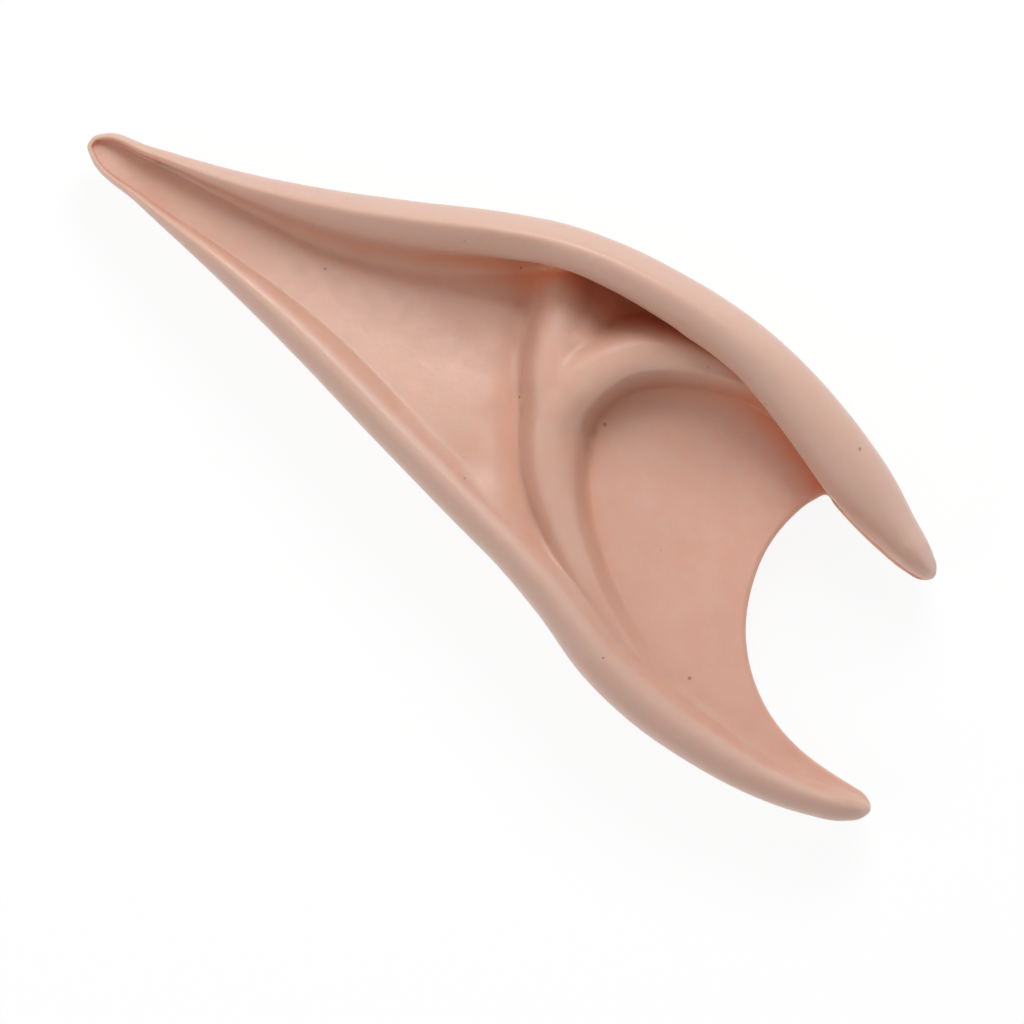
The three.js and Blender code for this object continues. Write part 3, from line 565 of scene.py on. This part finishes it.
def ear_loops(sizes):
    """Closed sections round the whole shell, from the upper tongue to the lobe: (rows, points, 3)."""
    skin = FrontSkin(sizes)
    wall = sizes.wall
    table = np.array(RIM_ROWS) * RIM_UNITS
    last = len(table) - 1
    cuts = sizes.rows_per_station
    places = np.linspace(0, last, last * cuts + 1)[1:-1]
    places = np.where(places < 1, places**END_CROWDING, places)
    places = np.where(places > last - 1, last - (last - places) ** END_CROWDING, places)
    mouth_points = np.array(MOUTH_ROWS) * POINT_UNITS
    first_across, last_across = unit(table[[1, -2], :2] - mouth_points[[1, -2]])
    ends = (end_slope(table[0], table[1], first_across, 1),
            end_slope(table[-1], table[-2], last_across, -1))
    values = smooth_curve(table, places, 2, *ends)
    st = {name: values[:, k] for k, name in enumerate(RIM_COLUMNS)}
    st["base"] = np.maximum(st["base"], 0)
    on_ear = np.clip(st["skin"], 0, 1)[:, None]
    hollow = np.clip(st["hollow"], 0, 1)
    ahead = smooth_curve(table, np.minimum(places + PLACE_STEP, last), 2, *ends)
    behind = smooth_curve(table, np.maximum(places - PLACE_STEP, 0), 2, *ends)
    travel = unit((ahead - behind)[:, :2])
    rim = values[:, :2]
    mouth = smooth_curve(mouth_points, np.maximum(st["mouth_at"], 0), 2, -first_across, last_across)
    left = np.stack([-travel[:, 1], travel[:, 0]], axis=1)
    inward = unit(mix(unit(mouth - rim), left, on_ear))
    rows = len(places)

    def across(distance):
        return rim[:, None] + inward[:, None] * distance[..., None]

    def column(name):
        return st[name][:, None]

    # Front skin, with its edge at the mouth rounded over
    fold = across(column("fold_at"))[:, 0]
    turn = across(np.maximum(column("fold_at") * NEAREST_TURN, column("round")))[:, 0]
    to_mouth = runs_between(fold, turn, mouth)
    fold_height = mix(st["fold"], skin.height(fold), on_ear[:, 0])
    end_run = np.linalg.norm(mouth - turn, axis=1)
    rounding = np.minimum(sizes.edge_round, EDGE_SHARE * end_run)
    end_share = rounding / (2 * end_run)
    cut = shares_of(to_mouth, rows, sizes.skin_cuts, skin)
    angles = np.linspace(0, math.pi / 2, EDGE_CUTS + 1)
    t = np.concatenate([
        cut * (1 - end_share[:, None]),
        1 - end_share[:, None] * (1 - np.sin(angles[1:])),
    ], axis=1)
    drop = np.zeros_like(t)
    drop[:, -EDGE_CUTS:] = rounding[:, None] * (1 - np.cos(angles[1:]))
    places_on_skin = to_mouth(t)

    def skin_height(points, t):
        free = mix(fold_height[:, None], column("lip"), t)
        return mix(free, skin.height(points), on_ear)

    front = plan(places_on_skin, skin_height(places_on_skin, t) - drop)

    # The rolled rim, seen across: distance from the rim and height
    side, crest, edge = column("side"), column("crest"), column("edge")
    crest_at, edge_at, fold_at = column("crest_at"), column("edge_at"), column("fold_at")
    shoulder = mix(OVERHANG_SHOULDER, OPEN_SHOULDER, step_in((fold_at - edge_at) / SHOULDER_REACH))
    ways = (side * 0, crest_at * BEND_AT, crest_at,
            mix(crest_at, edge_at, SHOULDER_AT), edge_at, fold_at)
    heights = (side, side + (crest - side) * BEND_RISE, crest,
               mix(crest, edge, shoulder), edge, fold_height[:, None])
    profile = np.stack([np.concatenate(ways, axis=1), np.concatenate(heights, axis=1)], axis=-1)
    first = front[:, 1] - front[:, 0]
    slope = unit(np.stack([np.linalg.norm(first[:, :2], axis=1), first[:, 2]], axis=1))[:, None]
    slope[..., 1] = np.minimum(slope[..., 1], 0)
    roll_places = np.linspace(0, ROLL_PARTS, ROLL_PARTS * sizes.roll_cuts + 1)
    roll_run = smooth_curve(profile, roll_places, 2, np.array([0.0, 1.0]), slope)
    roll = plan(across(roll_run[..., 0]), roll_run[..., 1])

    # The rounded back, and the flat behind it that stops short of the mouth
    angles = np.linspace(0, math.pi / 2, sizes.round_cuts + 1)[None, 1:]
    rounded = plan(across(column("round") * (1 - np.cos(angles))),
                   mix(side, column("base"), np.sin(angles)))
    round_end = across(column("round"))[:, 0]
    back_end = mouth - unit(mouth - round_end) * column("inset")
    end_base = column("base") * (1 - on_ear)

    def back_at(t):
        points = mix(round_end[:, None], back_end[:, None], t[..., None])
        return plan(points, mix(column("base"), end_base, step_in(t * BACK_SETTLING)))

    back = back_at(np.linspace(0, 1, sizes.flat_cuts + 1)[None, 1:] + np.zeros((rows, 1)))

    # The hollow, whose roof stops a wall's thickness short of the skin's fold where the rim overhangs it
    start = column("hollow_at")
    overhang = step_in((edge_at - fold_at) / OVERHANG_REACH)
    pull = wall * np.maximum(1 - on_ear, overhang)
    in_tip = start > 2 * wall
    fold_run = np.maximum(fold_at - pull, start + np.where(in_tip, LEAST_WAY_IN_TIP, LEAST_WAY))
    skin_way = unit(mouth - fold)

    def front_way(distance):
        on_roll = np.minimum(distance, fold_at)
        return across(on_roll) + skin_way[:, None] * (distance - on_roll)[..., None]

    inner_fold = front_way(fold_run)[:, 0]
    inner_end = mouth - skin_way * np.minimum(pull, np.linalg.norm(mouth - fold, axis=1)[:, None])
    bent = (st["round"] > fold_run[:, 0])[:, None]
    inner_turn = np.where(bent, turn, mix(inner_fold, inner_end, INNER_TURN))
    inner_run = runs_between(inner_fold, inner_turn, inner_end)
    t = shares_of(inner_run, rows, sizes.inner_cuts, skin)
    points = inner_run(t)
    under = mix(mix(fold_height[:, None], column("lip"), t), skin.under(points, wall), on_ear)
    room = RUN_SLACK * t + OPEN_SLACK * (1 - overhang)
    at_fold = fold_height[:, None] - wall * on_ear
    under = np.clip(under, at_fold - FOLD_SLACK * wall - room, at_fold + FOLD_SLACK * wall + room)
    turned = np.arccos(np.clip(1 - fold_run / np.maximum(column("round"), LEAST_ROUND), 0, 1))
    back_top = mix(side, column("base"), np.sin(turned)) + BACK_GAP * wall
    under = np.maximum(under, mix(under, back_top - BACK_SLACK * t, overhang))
    inner_skin = plan(points, under)
    overhang_roof = mix(fold_height[:, None], crest, ROOF_RISE) - wall
    shallow = fold_at < start
    foot = inner_skin[:, :1, 2]
    free_start = np.minimum(side, mix(crest - wall, overhang_roof, overhang))
    start_height = np.where(shallow, (column("base") + wall + foot) / 2, free_start)

    def roof_at(share):
        distance = mix(start, fold_run, share)
        closed = mix(start_height, overhang_roof, step_in(ROOF_SETTLING * share))
        height = mix(under_roll(roll_run, distance, wall), closed, overhang)
        height = np.where(shallow, mix(start_height, foot, share), height)
        return plan(front_way(distance), height)[:, 0]

    first = plan(front_way(start), start_height)[:, 0]
    roof_line = np.stack([first, *map(roof_at, ROOF_SHARES), inner_skin[:, 0]], axis=1)
    parts = len(ROOF_SHARES) + 1
    roof_points = smooth_curve(roof_line, np.linspace(0, parts, parts * ROOF_CUTS + 1), 3)
    back_run = np.linalg.norm(back_end - round_end, axis=1)[:, None]
    round_share = (np.maximum(column("round"), start + LEAST_ROUND_WAY) - column("round")) / back_run
    lift = np.array([0, 0, wall])
    target = back_at(round_share) + lift
    inner_round = mix(roof_points[:, :1], target, (1 - np.cos(angles))[..., None])
    inner_round[..., 2] = mix(start_height, target[..., 2], np.sin(angles))
    t = np.linspace(0, 1, sizes.flat_cuts // 2 + 1)[None, 1:]
    inner_flat = back_at(mix(round_share, 1.0, t)) + lift

    outer = np.concatenate([front[:, :0:-1], roll[:, ::-1], rounded, back], axis=1)
    inner = (inner_flat[:, ::-1], inner_round[:, ::-1], roof_points, inner_skin[:, 1:])
    centre = (outer[:, :1] + outer[:, -1:]) / 2
    inner = mix(centre, np.concatenate(inner, axis=1), hollow[:, None, None])
    crest_column = RIM_COLUMNS.index("crest")
    poles = [np.array([*table[k, :2], table[k, crest_column]]) for k in (0, -1)]
    return np.concatenate([outer, inner], axis=1), poles, outer.shape[1]


def ear_mesh(name, sizes):
    """The closed mesh of the shell, centred over the origin and standing on its back."""
    loops, poles, outer_count = ear_loops(sizes)
    rows, size = loops.shape[:2]
    points = np.concatenate([loops.reshape(-1, 3), poles])
    low, high = points.min(0), points.max(0)
    points -= np.array([(low[0] + high[0]) / 2, (low[1] + high[1]) / 2, low[2]])
    i, j = np.meshgrid(np.arange(rows - 1), np.arange(size), indexing="ij")
    following = (j + 1) % size
    here, there = i * size, (i + 1) * size
    quads = np.stack([here + j, here + following, there + following, there + j], axis=-1)
    faces = quads.reshape(-1, 4).tolist()
    end = (rows - 1) * size
    for j in range(size):
        following = (j + 1) % size
        faces.append([rows * size, following, j])
        faces.append([rows * size + 1, end + j, end + following])
    mesh = bpy.data.meshes.new(name)
    mesh.from_pydata(points.tolist(), [], faces)
    mesh.shade_smooth()
    mask = np.append(np.tile(rim_mask(sizes, size, outer_count), rows), (0.0, 0.0))
    add_relief(mesh, points, mask, sizes)
    return mesh


def rim_mask(sizes, size, outer_count):
    """1 on the rim's outer face, which gets the pale painted sheen, 0 on the front, and -1 on the trimmed edge and
    the inside, which get neither painted sheen nor painted shade.
    """
    step = np.arange(size)
    turn = (sizes.skin_cuts + ROLL_PARTS * sizes.roll_cuts - step) / sizes.roll_cuts
    mask = step_in((PALE_END - turn) / PALE_FADE)
    mask[:TRIMMED_STEPS] = np.linspace(-1.0, 0.0, TRIMMED_STEPS)
    mask[outer_count:] = -1.0
    return mask


def add_relief(mesh, points, mask, sizes):
    """How far each point of the front stands above its wider surroundings, from 0 in hollows to 1 on ridges; the
    material paints shade into the hollows and a pale sheen onto the ridges from it.
    """
    low = points[:, :2].min(0)
    place = (points[:, :2] - low) / RELIEF_CELL
    index = place.astype(int)
    shape = index.max(0) + 2
    top = np.full(shape, -1.0)
    np.maximum.at(top, (index[:, 0], index[:, 1]), points[:, 2])
    known = top >= 0
    level = np.where(known, top, 0.0)
    weight = known.astype(float)

    def spread(values, axis):
        return (np.roll(values, 1, axis) + values * 2 + np.roll(values, -1, axis)) / 4

    for _ in range(sizes.relief_reach):
        for axis in (0, 1):
            level = spread(level, axis)
            weight = spread(weight, axis)
    around = level / np.maximum(weight, LEAST_WEIGHT)

    # The cells' values stand at their middles, so a point lies between four of them
    x, y = np.clip(place - 0.5, 0.0, None).T
    i, j = x.astype(int), y.astype(int)
    x, y = x - i, y - j
    level = mix(mix(around[i, j], around[i + 1, j], x), mix(around[i, j + 1], around[i + 1, j + 1], x), y)
    relief = np.clip(LEVEL + (points[:, 2] - level) / sizes.relief_range, 0.0, 1.0)
    # The rim's outer face is set to full relief for its painted sheen; the trimmed edge and the inside are set
    # level, so they get neither painted sheen nor painted shade
    relief = mix(mix(relief, LEVEL, np.maximum(-mask, 0.0)), 1.0, np.maximum(mask, 0.0))
    attribute = mesh.attributes.new("relief", "FLOAT", "POINT")
    attribute.data.foreach_set("value", relief)


def socket_of(group, name, way, kind, default=None):
    made = group.interface.new_socket(name=name, in_out=way, socket_type=kind)
    if default is not None:
        made.default_value = default
    return made


def put(nodes, kind, place, **settings):
    node = nodes.new(kind)
    node.location = place
    for name, value in settings.items():
        setattr(node, name, value)
    return node


def ranged(nodes, links, value, low, high, place, to_low=0.0, to_high=1.0):
    node = put(nodes, "ShaderNodeMapRange", place, interpolation_type="SMOOTHSTEP")
    for name, number in (("From Min", low), ("From Max", high), ("To Min", to_low), ("To Max", to_high)):
        node.inputs[name].default_value = number
    links.new(value, node.inputs["Value"])
    return node.outputs["Result"]


def maths(nodes, links, kind, a, b, place):
    node = put(nodes, "ShaderNodeMath", place, operation=kind)
    for number, value in enumerate((a, b)):
        if isinstance(value, (int, float)):
            node.inputs[number].default_value = value
        else:
            links.new(value, node.inputs[number])
    return node.outputs[0]


def tinted(nodes, links, share, a, b, place):
    node = put(nodes, "ShaderNodeMix", place, data_type="RGBA")
    links.new(share, node.inputs["Factor"])
    for name, value in (("A", a), ("B", b)):
        socket = next(s for s in node.inputs if s.name == name and s.type == "RGBA")
        if isinstance(value, (tuple, list)):
            socket.default_value = value
        else:
            links.new(value, socket)
    return next(s for s in node.outputs if s.type == "RGBA")


def mottle_group():
    """Soft clouds of a second colour, as pigment settles in the cast latex."""
    group = bpy.data.node_groups.new("Latex Mottle", "ShaderNodeTree")
    socket_of(group, "Vector", "INPUT", "NodeSocketVector")
    socket_of(group, "Cloud Size", "INPUT", "NodeSocketFloat", 60.0)
    socket_of(group, "Fine Size", "INPUT", "NodeSocketFloat", 420.0)
    socket_of(group, "Cloud", "OUTPUT", "NodeSocketFloat")
    socket_of(group, "Fine", "OUTPUT", "NodeSocketFloat")
    nodes, links = group.nodes, group.links
    inside = put(nodes, "NodeGroupInput", (-700, 0))
    outside = put(nodes, "NodeGroupOutput", (300, 0))
    for name, size, height in (("Cloud", "Cloud Size", 150), ("Fine", "Fine Size", -150)):
        cloud = put(nodes, "ShaderNodeTexNoise", (-400, height))
        cloud.inputs["Detail"].default_value = CLOUD_DETAIL
        cloud.inputs["Roughness"].default_value = CLOUD_ROUGHNESS
        links.new(inside.outputs["Vector"], cloud.inputs["Vector"])
        links.new(inside.outputs[size], cloud.inputs["Scale"])
        cloudy = ranged(nodes, links, cloud.outputs["Fac"], *CLOUD_RANGE, (-100, height))
        links.new(cloudy, outside.inputs[name])
    return group


def speck_group():
    """Sparse dark specks and pinholes left by bubbles in the casting."""
    group = bpy.data.node_groups.new("Latex Specks", "ShaderNodeTree")
    socket_of(group, "Vector", "INPUT", "NodeSocketVector")
    socket_of(group, "Spacing", "INPUT", "NodeSocketFloat", 180.0)
    socket_of(group, "Share", "INPUT", "NodeSocketFloat", 0.12)
    socket_of(group, "Speck Size", "INPUT", "NodeSocketFloat", 0.05)
    socket_of(group, "Specks", "OUTPUT", "NodeSocketFloat")
    nodes, links = group.nodes, group.links
    inside = put(nodes, "NodeGroupInput", (-900, 0))
    outside = put(nodes, "NodeGroupOutput", (500, 0))
    cells = put(nodes, "ShaderNodeTexVoronoi", (-600, 0))
    links.new(inside.outputs["Vector"], cells.inputs["Vector"])
    links.new(inside.outputs["Spacing"], cells.inputs["Scale"])
    chance = put(nodes, "ShaderNodeSeparateColor", (-350, -150))
    links.new(cells.outputs["Color"], chance.inputs["Color"])
    share, largest = inside.outputs["Share"], inside.outputs["Speck Size"]
    chosen = maths(nodes, links, "LESS_THAN", chance.outputs[0], share, (-150, -150))
    grown = maths(nodes, links, "MULTIPLY", chance.outputs[1], largest, (-150, -320))
    dot = put(nodes, "ShaderNodeMapRange", (50, 50), interpolation_type="SMOOTHSTEP")
    links.new(cells.outputs["Distance"], dot.inputs["Value"])
    links.new(maths(nodes, links, "MULTIPLY", grown, SPECK_CORE, (0, -320)), dot.inputs["From Min"])
    links.new(maths(nodes, links, "ADD", grown, SPECK_BORDER, (0, -450)), dot.inputs["From Max"])
    dot.inputs["To Min"].default_value = 1.0
    dot.inputs["To Max"].default_value = 0.0
    specks = maths(nodes, links, "MULTIPLY", dot.outputs["Result"], chosen, (250, 0))
    links.new(specks, outside.inputs["Specks"])
    return group


def grain_group():
    """The fine uneven surface of the mould, as a height that counts in the bump's distance."""
    group = bpy.data.node_groups.new("Mould Grain", "ShaderNodeTree")
    socket_of(group, "Vector", "INPUT", "NodeSocketVector")
    socket_of(group, "Grain Scale", "INPUT", "NodeSocketFloat", 900.0)
    socket_of(group, "Wave Scale", "INPUT", "NodeSocketFloat", 130.0)
    socket_of(group, "Height", "OUTPUT", "NodeSocketFloat")
    nodes, links = group.nodes, group.links
    inside = put(nodes, "NodeGroupInput", (-700, 0))
    outside = put(nodes, "NodeGroupOutput", (500, 0))
    parts = []
    for size, share, height in (("Grain Scale", GRAIN_WEIGHT, 150), ("Wave Scale", WAVE_WEIGHT, -150)):
        texture = put(nodes, "ShaderNodeTexNoise", (-400, height))
        texture.inputs["Detail"].default_value = GRAIN_DETAIL
        links.new(inside.outputs["Vector"], texture.inputs["Vector"])
        links.new(inside.outputs[size], texture.inputs["Scale"])
        parts.append(maths(nodes, links, "MULTIPLY", texture.outputs["Fac"], share, (-100, height)))
    links.new(maths(nodes, links, "ADD", parts[0], parts[1], (200, 0)), outside.inputs["Height"])
    return group


def latex_material(look):
    material = bpy.data.materials.new("Cast Latex")
    material.use_nodes = True
    nodes, links = material.node_tree.nodes, material.node_tree.links
    shader = nodes["Principled BSDF"]
    place = put(nodes, "ShaderNodeTexCoord", (-1700, 0)).outputs["Object"]

    def group(tree, where, **values):
        node = put(nodes, "ShaderNodeGroup", where, node_tree=tree)
        links.new(place, node.inputs["Vector"])
        for name, value in values.items():
            node.inputs[name.replace("_", " ")].default_value = value
        return node

    mottle = group(mottle_group(), (-1400, 300), Cloud_Size=46.0, Fine_Size=520.0)
    specks = group(speck_group(), (-1400, 0), Spacing=300.0, Share=0.5, Speck_Size=0.1)
    grain = group(grain_group(), (-1400, -350), Grain_Scale=1500.0, Wave_Scale=230.0)

    relief = put(nodes, "ShaderNodeAttribute", (-1400, 600), attribute_name="relief").outputs["Fac"]
    # Painted sheen: ridges and the rim's outer face turn pale where light and sheen fall on them
    ridge = ranged(nodes, links, relief, *PAINTED_SHEEN_RANGE, (-1150, 650))
    # Painted shade: hollows get a dark orange that stands in for their shadow and the warm light bounced inside them
    hollow = ranged(nodes, links, relief, *PAINTED_SHADE_RANGE, (-1150, 850))
    cloud = mottle.outputs["Cloud"]
    skin = tinted(nodes, links, cloud, tuple(look.base), tuple(look.warm), (-900, 400))
    fine = maths(nodes, links, "MULTIPLY", mottle.outputs["Fine"], FINE_TINT, (-900, 200))
    # Fine mottle toward the pale colour: a random tone of the latex
    skin = tinted(nodes, links, fine, skin, tuple(look.pale), (-700, 400))
    # Painted sheen mixed into the colour on ridges and on the rim's outer face
    pale = maths(nodes, links, "MULTIPLY", ridge, look.painted_sheen_share, (-700, 650))
    skin = tinted(nodes, links, pale, skin, tuple(look.pale), (-500, 450))
    # Painted shade mixed into the colour in hollows
    painted_shade = maths(nodes, links, "MULTIPLY", hollow, look.painted_shade_share, (-700, 850))
    skin = tinted(nodes, links, painted_shade, skin, tuple(look.painted_shade), (-300, 500))
    dark = maths(nodes, links, "MULTIPLY", specks.outputs["Specks"], SPECK_TINT, (-300, 200))
    skin = tinted(nodes, links, dark, skin, tuple(look.speck), (-100, 450))
    links.new(skin, shader.inputs["Base Color"])

    rough = ranged(nodes, links, mottle.outputs["Fine"], 0, 1, (-500, -50),
                   look.roughness - SMOOTHER, look.roughness + ROUGHER)
    links.new(rough, shader.inputs["Roughness"])
    pits = maths(nodes, links, "MULTIPLY", specks.outputs["Specks"], PIT_HEIGHT, (-700, -250))
    height = maths(nodes, links, "ADD", grain.outputs["Height"], pits, (-500, -300))
    bump = put(nodes, "ShaderNodeBump", (-250, -300))
    bump.inputs["Strength"].default_value = BUMP_STRENGTH
    bump.inputs["Distance"].default_value = BUMP_HEIGHT
    links.new(height, bump.inputs["Height"])
    links.new(bump.outputs["Normal"], shader.inputs["Normal"])
    shader.inputs["Subsurface Weight"].default_value = look.depth_share
    shader.inputs["Subsurface Radius"].default_value = GLOW_REACH
    shader.inputs["Subsurface Scale"].default_value = look.depth
    shader.inputs["Specular IOR Level"].default_value = GLOSS
    shader.inputs["IOR"].default_value = REFRACTION
    return material


class ElfEarSizes(bpy.types.PropertyGroup):
    wall: FloatProperty(
        name="Wall", description="Thickness of the latex", default=0.0015, unit="LENGTH")
    edge_round: FloatProperty(
        name="Edge Round", description="Rounding of the trimmed edge at the mouth",
        default=0.0007, unit="LENGTH")
    bowl_outside: FloatProperty(
        name="Bowl Step Outside", description="Reach of the bowl's wall outside its outline",
        default=0.0007, unit="LENGTH")
    bowl_inside: FloatProperty(
        name="Bowl Step Inside", description="Reach of the bowl's wall inside its outline",
        default=0.0014, unit="LENGTH")
    ridge_drop: FloatProperty(
        name="Ridge Drop", description="Fall of the ridge's flank within its stated reach",
        default=0.0015, unit="LENGTH")
    ridge_fullness: FloatProperty(
        name="Ridge Fullness", description="Power of the ridge's flank: 2 is slender, 3 is broad",
        default=2.6)
    ridge_blend: FloatProperty(
        name="Ridge Blend", description="Softness where the ridge meets the skin",
        default=0.001, unit="LENGTH")
    rows_per_station: IntProperty(
        name="Rows per Station", description="Sections between two stations of the rim", default=10)
    skin_cuts: IntProperty(name="Skin Cuts", description="Cuts across the front skin", default=120)
    roll_cuts: IntProperty(name="Roll Cuts", description="Cuts in each fifth of the rolled rim", default=9)
    round_cuts: IntProperty(name="Round Cuts", description="Cuts round the back's edge", default=12)
    flat_cuts: IntProperty(name="Flat Cuts", description="Cuts across the back", default=16)
    inner_cuts: IntProperty(name="Inner Cuts", description="Cuts across the pocket's roof", default=30)
    # The relief sets where painted shade falls in hollows and painted sheen on ridges: how widely it averages, and
    # the height it ranges over
    relief_reach: IntProperty(
        name="Relief Reach", description="How widely the surroundings of a point are averaged", default=14)
    relief_range: FloatProperty(
        name="Relief Range", description="Height from the deepest hollow's tint to the highest ridge's",
        default=0.014, unit="LENGTH")


class ElfEarLook(bpy.types.PropertyGroup):
    base: FloatVectorProperty(
        name="Base", description="Main colour of the latex",
        subtype="COLOR", size=4, default=(0.70, 0.42, 0.315, 1))
    warm: FloatVectorProperty(
        name="Warm", description="Warmer clouds in the latex",
        subtype="COLOR", size=4, default=(0.69, 0.395, 0.295, 1))
    # Pale colour of the fine mottle, and of the painted sheen on ridges and on the rim's outer face
    pale: FloatVectorProperty(
        name="Pale", description="Paler latex on ridges",
        subtype="COLOR", size=4, default=(0.69, 0.478, 0.395, 1))
    # Painted shade: a dark orange that stands in for the shadow and warm bounced light in hollows
    painted_shade: FloatVectorProperty(
        name="Deep", description="Deeper colour in hollows",
        subtype="COLOR", size=4, default=(0.74, 0.235, 0.09, 1))
    speck: FloatVectorProperty(
        name="Speck", description="Dark specks in the casting",
        subtype="COLOR", size=4, default=(0.16, 0.09, 0.06, 1))
    # How much painted sheen the ridges get
    painted_sheen_share: FloatProperty(
        name="Ridge Tint", description="Share of the pale colour on ridges", default=0.65, subtype="FACTOR")
    # How much painted shade the hollows get
    painted_shade_share: FloatProperty(
        name="Hollow Tint", description="Share of the deep colour in hollows", default=0.62, subtype="FACTOR")
    roughness: FloatProperty(
        name="Roughness", description="Mean roughness of the latex", default=0.4, subtype="FACTOR")
    depth_share: FloatProperty(
        name="Glow", description="Share of light that scatters inside the latex",
        default=0.5, subtype="FACTOR")
    depth: FloatProperty(
        name="Glow Depth", description="How far light travels inside the latex",
        default=0.0025, unit="LENGTH")


class ElfEarStudio(bpy.types.PropertyGroup):
    floor_colour: FloatVectorProperty(
        name="Floor", description="Colour of the pale floor",
        subtype="COLOR", size=4, default=(0.11, 0.11, 0.11, 1))
    floor_glow: FloatProperty(
        name="Floor Glow", description="Light given by the lit floor", default=0.9)
    key_power: FloatProperty(
        name="Key Power", description="Power of the main soft light", default=1.38, unit="POWER")
    fill_power: FloatProperty(
        name="Fill Power", description="Power of the light round the camera", default=0.5, unit="POWER")
    side_power: FloatProperty(
        name="Side Power", description="Power of the soft light from the left", default=0.55, unit="POWER")
    surround: FloatProperty(name="Surround", description="Strength of the even light all round", default=0.31)
    lens: FloatProperty(name="Lens", description="Focal length in millimetres", default=300.0)
    frame_width: FloatProperty(
        name="Frame Width", description="Width that the picture shows at the ear's middle height",
        default=0.12288, unit="LENGTH")


class ELFEAR_OT_shell(bpy.types.Operator):
    """Builds the cast latex ear over its solid."""

    bl_idname = "elf_ear.shell"
    bl_label = "Ear Shell"

    def execute(self, context):
        scene = context.scene
        mesh = ear_mesh("latex_ear", scene.elf_ear_sizes)
        mesh.materials.append(latex_material(scene.elf_ear_look))
        ear = bpy.data.objects.new("latex_ear", mesh)
        scene.collection.objects.link(ear)
        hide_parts("ear_shell")
        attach(ear, "root")
        return {"FINISHED"}


class ELFEAR_OT_studio(bpy.types.Operator):
    """Lays the pale floor and sets the soft lights and the camera above the ear."""

    bl_idname = "elf_ear.studio"
    bl_label = "Studio"

    def execute(self, context):
        scene = context.scene
        look = scene.elf_ear_studio
        self.floor(scene, look)
        for name, power, size, place in LIGHTS:
            self.light(scene, name, getattr(look, power), size, place)
        world = bpy.data.worlds.new("Surround")
        world.use_nodes = True
        background = world.node_tree.nodes["Background"]
        background.inputs["Color"].default_value = (1, 1, 1, 1)
        background.inputs["Strength"].default_value = look.surround
        scene.world = world
        camera = bpy.data.cameras.new("Camera")
        camera.lens = look.lens
        camera.clip_start, camera.clip_end = CLIP_NEAR, CLIP_FAR
        stand = bpy.data.objects.new("Camera", camera)
        scene.collection.objects.link(stand)
        distance = look.frame_width * look.lens / camera.sensor_width
        stand.location = (0, CAMERA_SHIFT, MIDDLE_HEIGHT + distance)
        scene.camera = stand
        scene.view_settings.view_transform = "Standard"
        return {"FINISHED"}

    def floor(self, scene, look):
        mesh = bpy.data.meshes.new("floor")
        signs = ((-1, -1), (1, -1), (1, 1), (-1, 1))
        corners = [(x * FLOOR_REACH, y * FLOOR_REACH, 0) for x, y in signs]
        mesh.from_pydata(corners, [], [(0, 1, 2, 3)])
        floor = bpy.data.objects.new("floor", mesh)
        scene.collection.objects.link(floor)
        material = bpy.data.materials.new("Pale Floor")
        material.use_nodes = True
        shader = material.node_tree.nodes["Principled BSDF"]
        shader.inputs["Base Color"].default_value = look.floor_colour
        shader.inputs["Roughness"].default_value = FLOOR_ROUGHNESS
        shader.inputs["Specular IOR Level"].default_value = FLOOR_GLOSS
        shader.inputs["Emission Color"].default_value = (1, 1, 1, 1)
        shader.inputs["Emission Strength"].default_value = look.floor_glow
        mesh.materials.append(material)

    def light(self, scene, name, power, size, place):
        data = bpy.data.lights.new(name, "AREA")
        data.energy = power
        data.size = size
        lamp = bpy.data.objects.new(name, data)
        lamp.location = place
        way = Vector(LIT_PLACE) - Vector(place)
        lamp.rotation_euler = way.to_track_quat("-Z", "Y").to_euler()
        scene.collection.objects.link(lamp)


class ELFEAR_PT_panel(bpy.types.Panel):
    """Sizes, look and studio of the elf ear."""

    bl_idname = "ELFEAR_PT_panel"
    bl_label = "Elf Ear"
    bl_space_type = "VIEW_3D"
    bl_region_type = "UI"
    bl_category = "Elf Ear"

    def draw(self, context):
        layout = self.layout
        groups = (("Sizes", "elf_ear_sizes"), ("Latex", "elf_ear_look"), ("Studio", "elf_ear_studio"))
        for title, group in groups:
            box = layout.box()
            box.label(text=title)
            settings = getattr(context.scene, group)
            for name in settings.bl_rna.properties.keys():
                if name not in ("rna_type", "name"):
                    box.prop(settings, name)
        layout.operator(ELFEAR_OT_shell.bl_idname)
        layout.operator(ELFEAR_OT_studio.bl_idname)


CLASSES = (ElfEarSizes, ElfEarLook, ElfEarStudio, ELFEAR_OT_shell, ELFEAR_OT_studio, ELFEAR_PT_panel)


def register():
    for cls in CLASSES:
        bpy.utils.register_class(cls)
    bpy.types.Scene.elf_ear_sizes = PointerProperty(type=ElfEarSizes)
    bpy.types.Scene.elf_ear_look = PointerProperty(type=ElfEarLook)
    bpy.types.Scene.elf_ear_studio = PointerProperty(type=ElfEarStudio)


def unregister():
    del bpy.types.Scene.elf_ear_studio
    del bpy.types.Scene.elf_ear_look
    del bpy.types.Scene.elf_ear_sizes
    for cls in reversed(CLASSES):
        bpy.utils.unregister_class(cls)


def main():
    register()
    bpy.ops.elf_ear.shell()
    bpy.ops.elf_ear.studio()


if __name__ == "__main__":
    main()
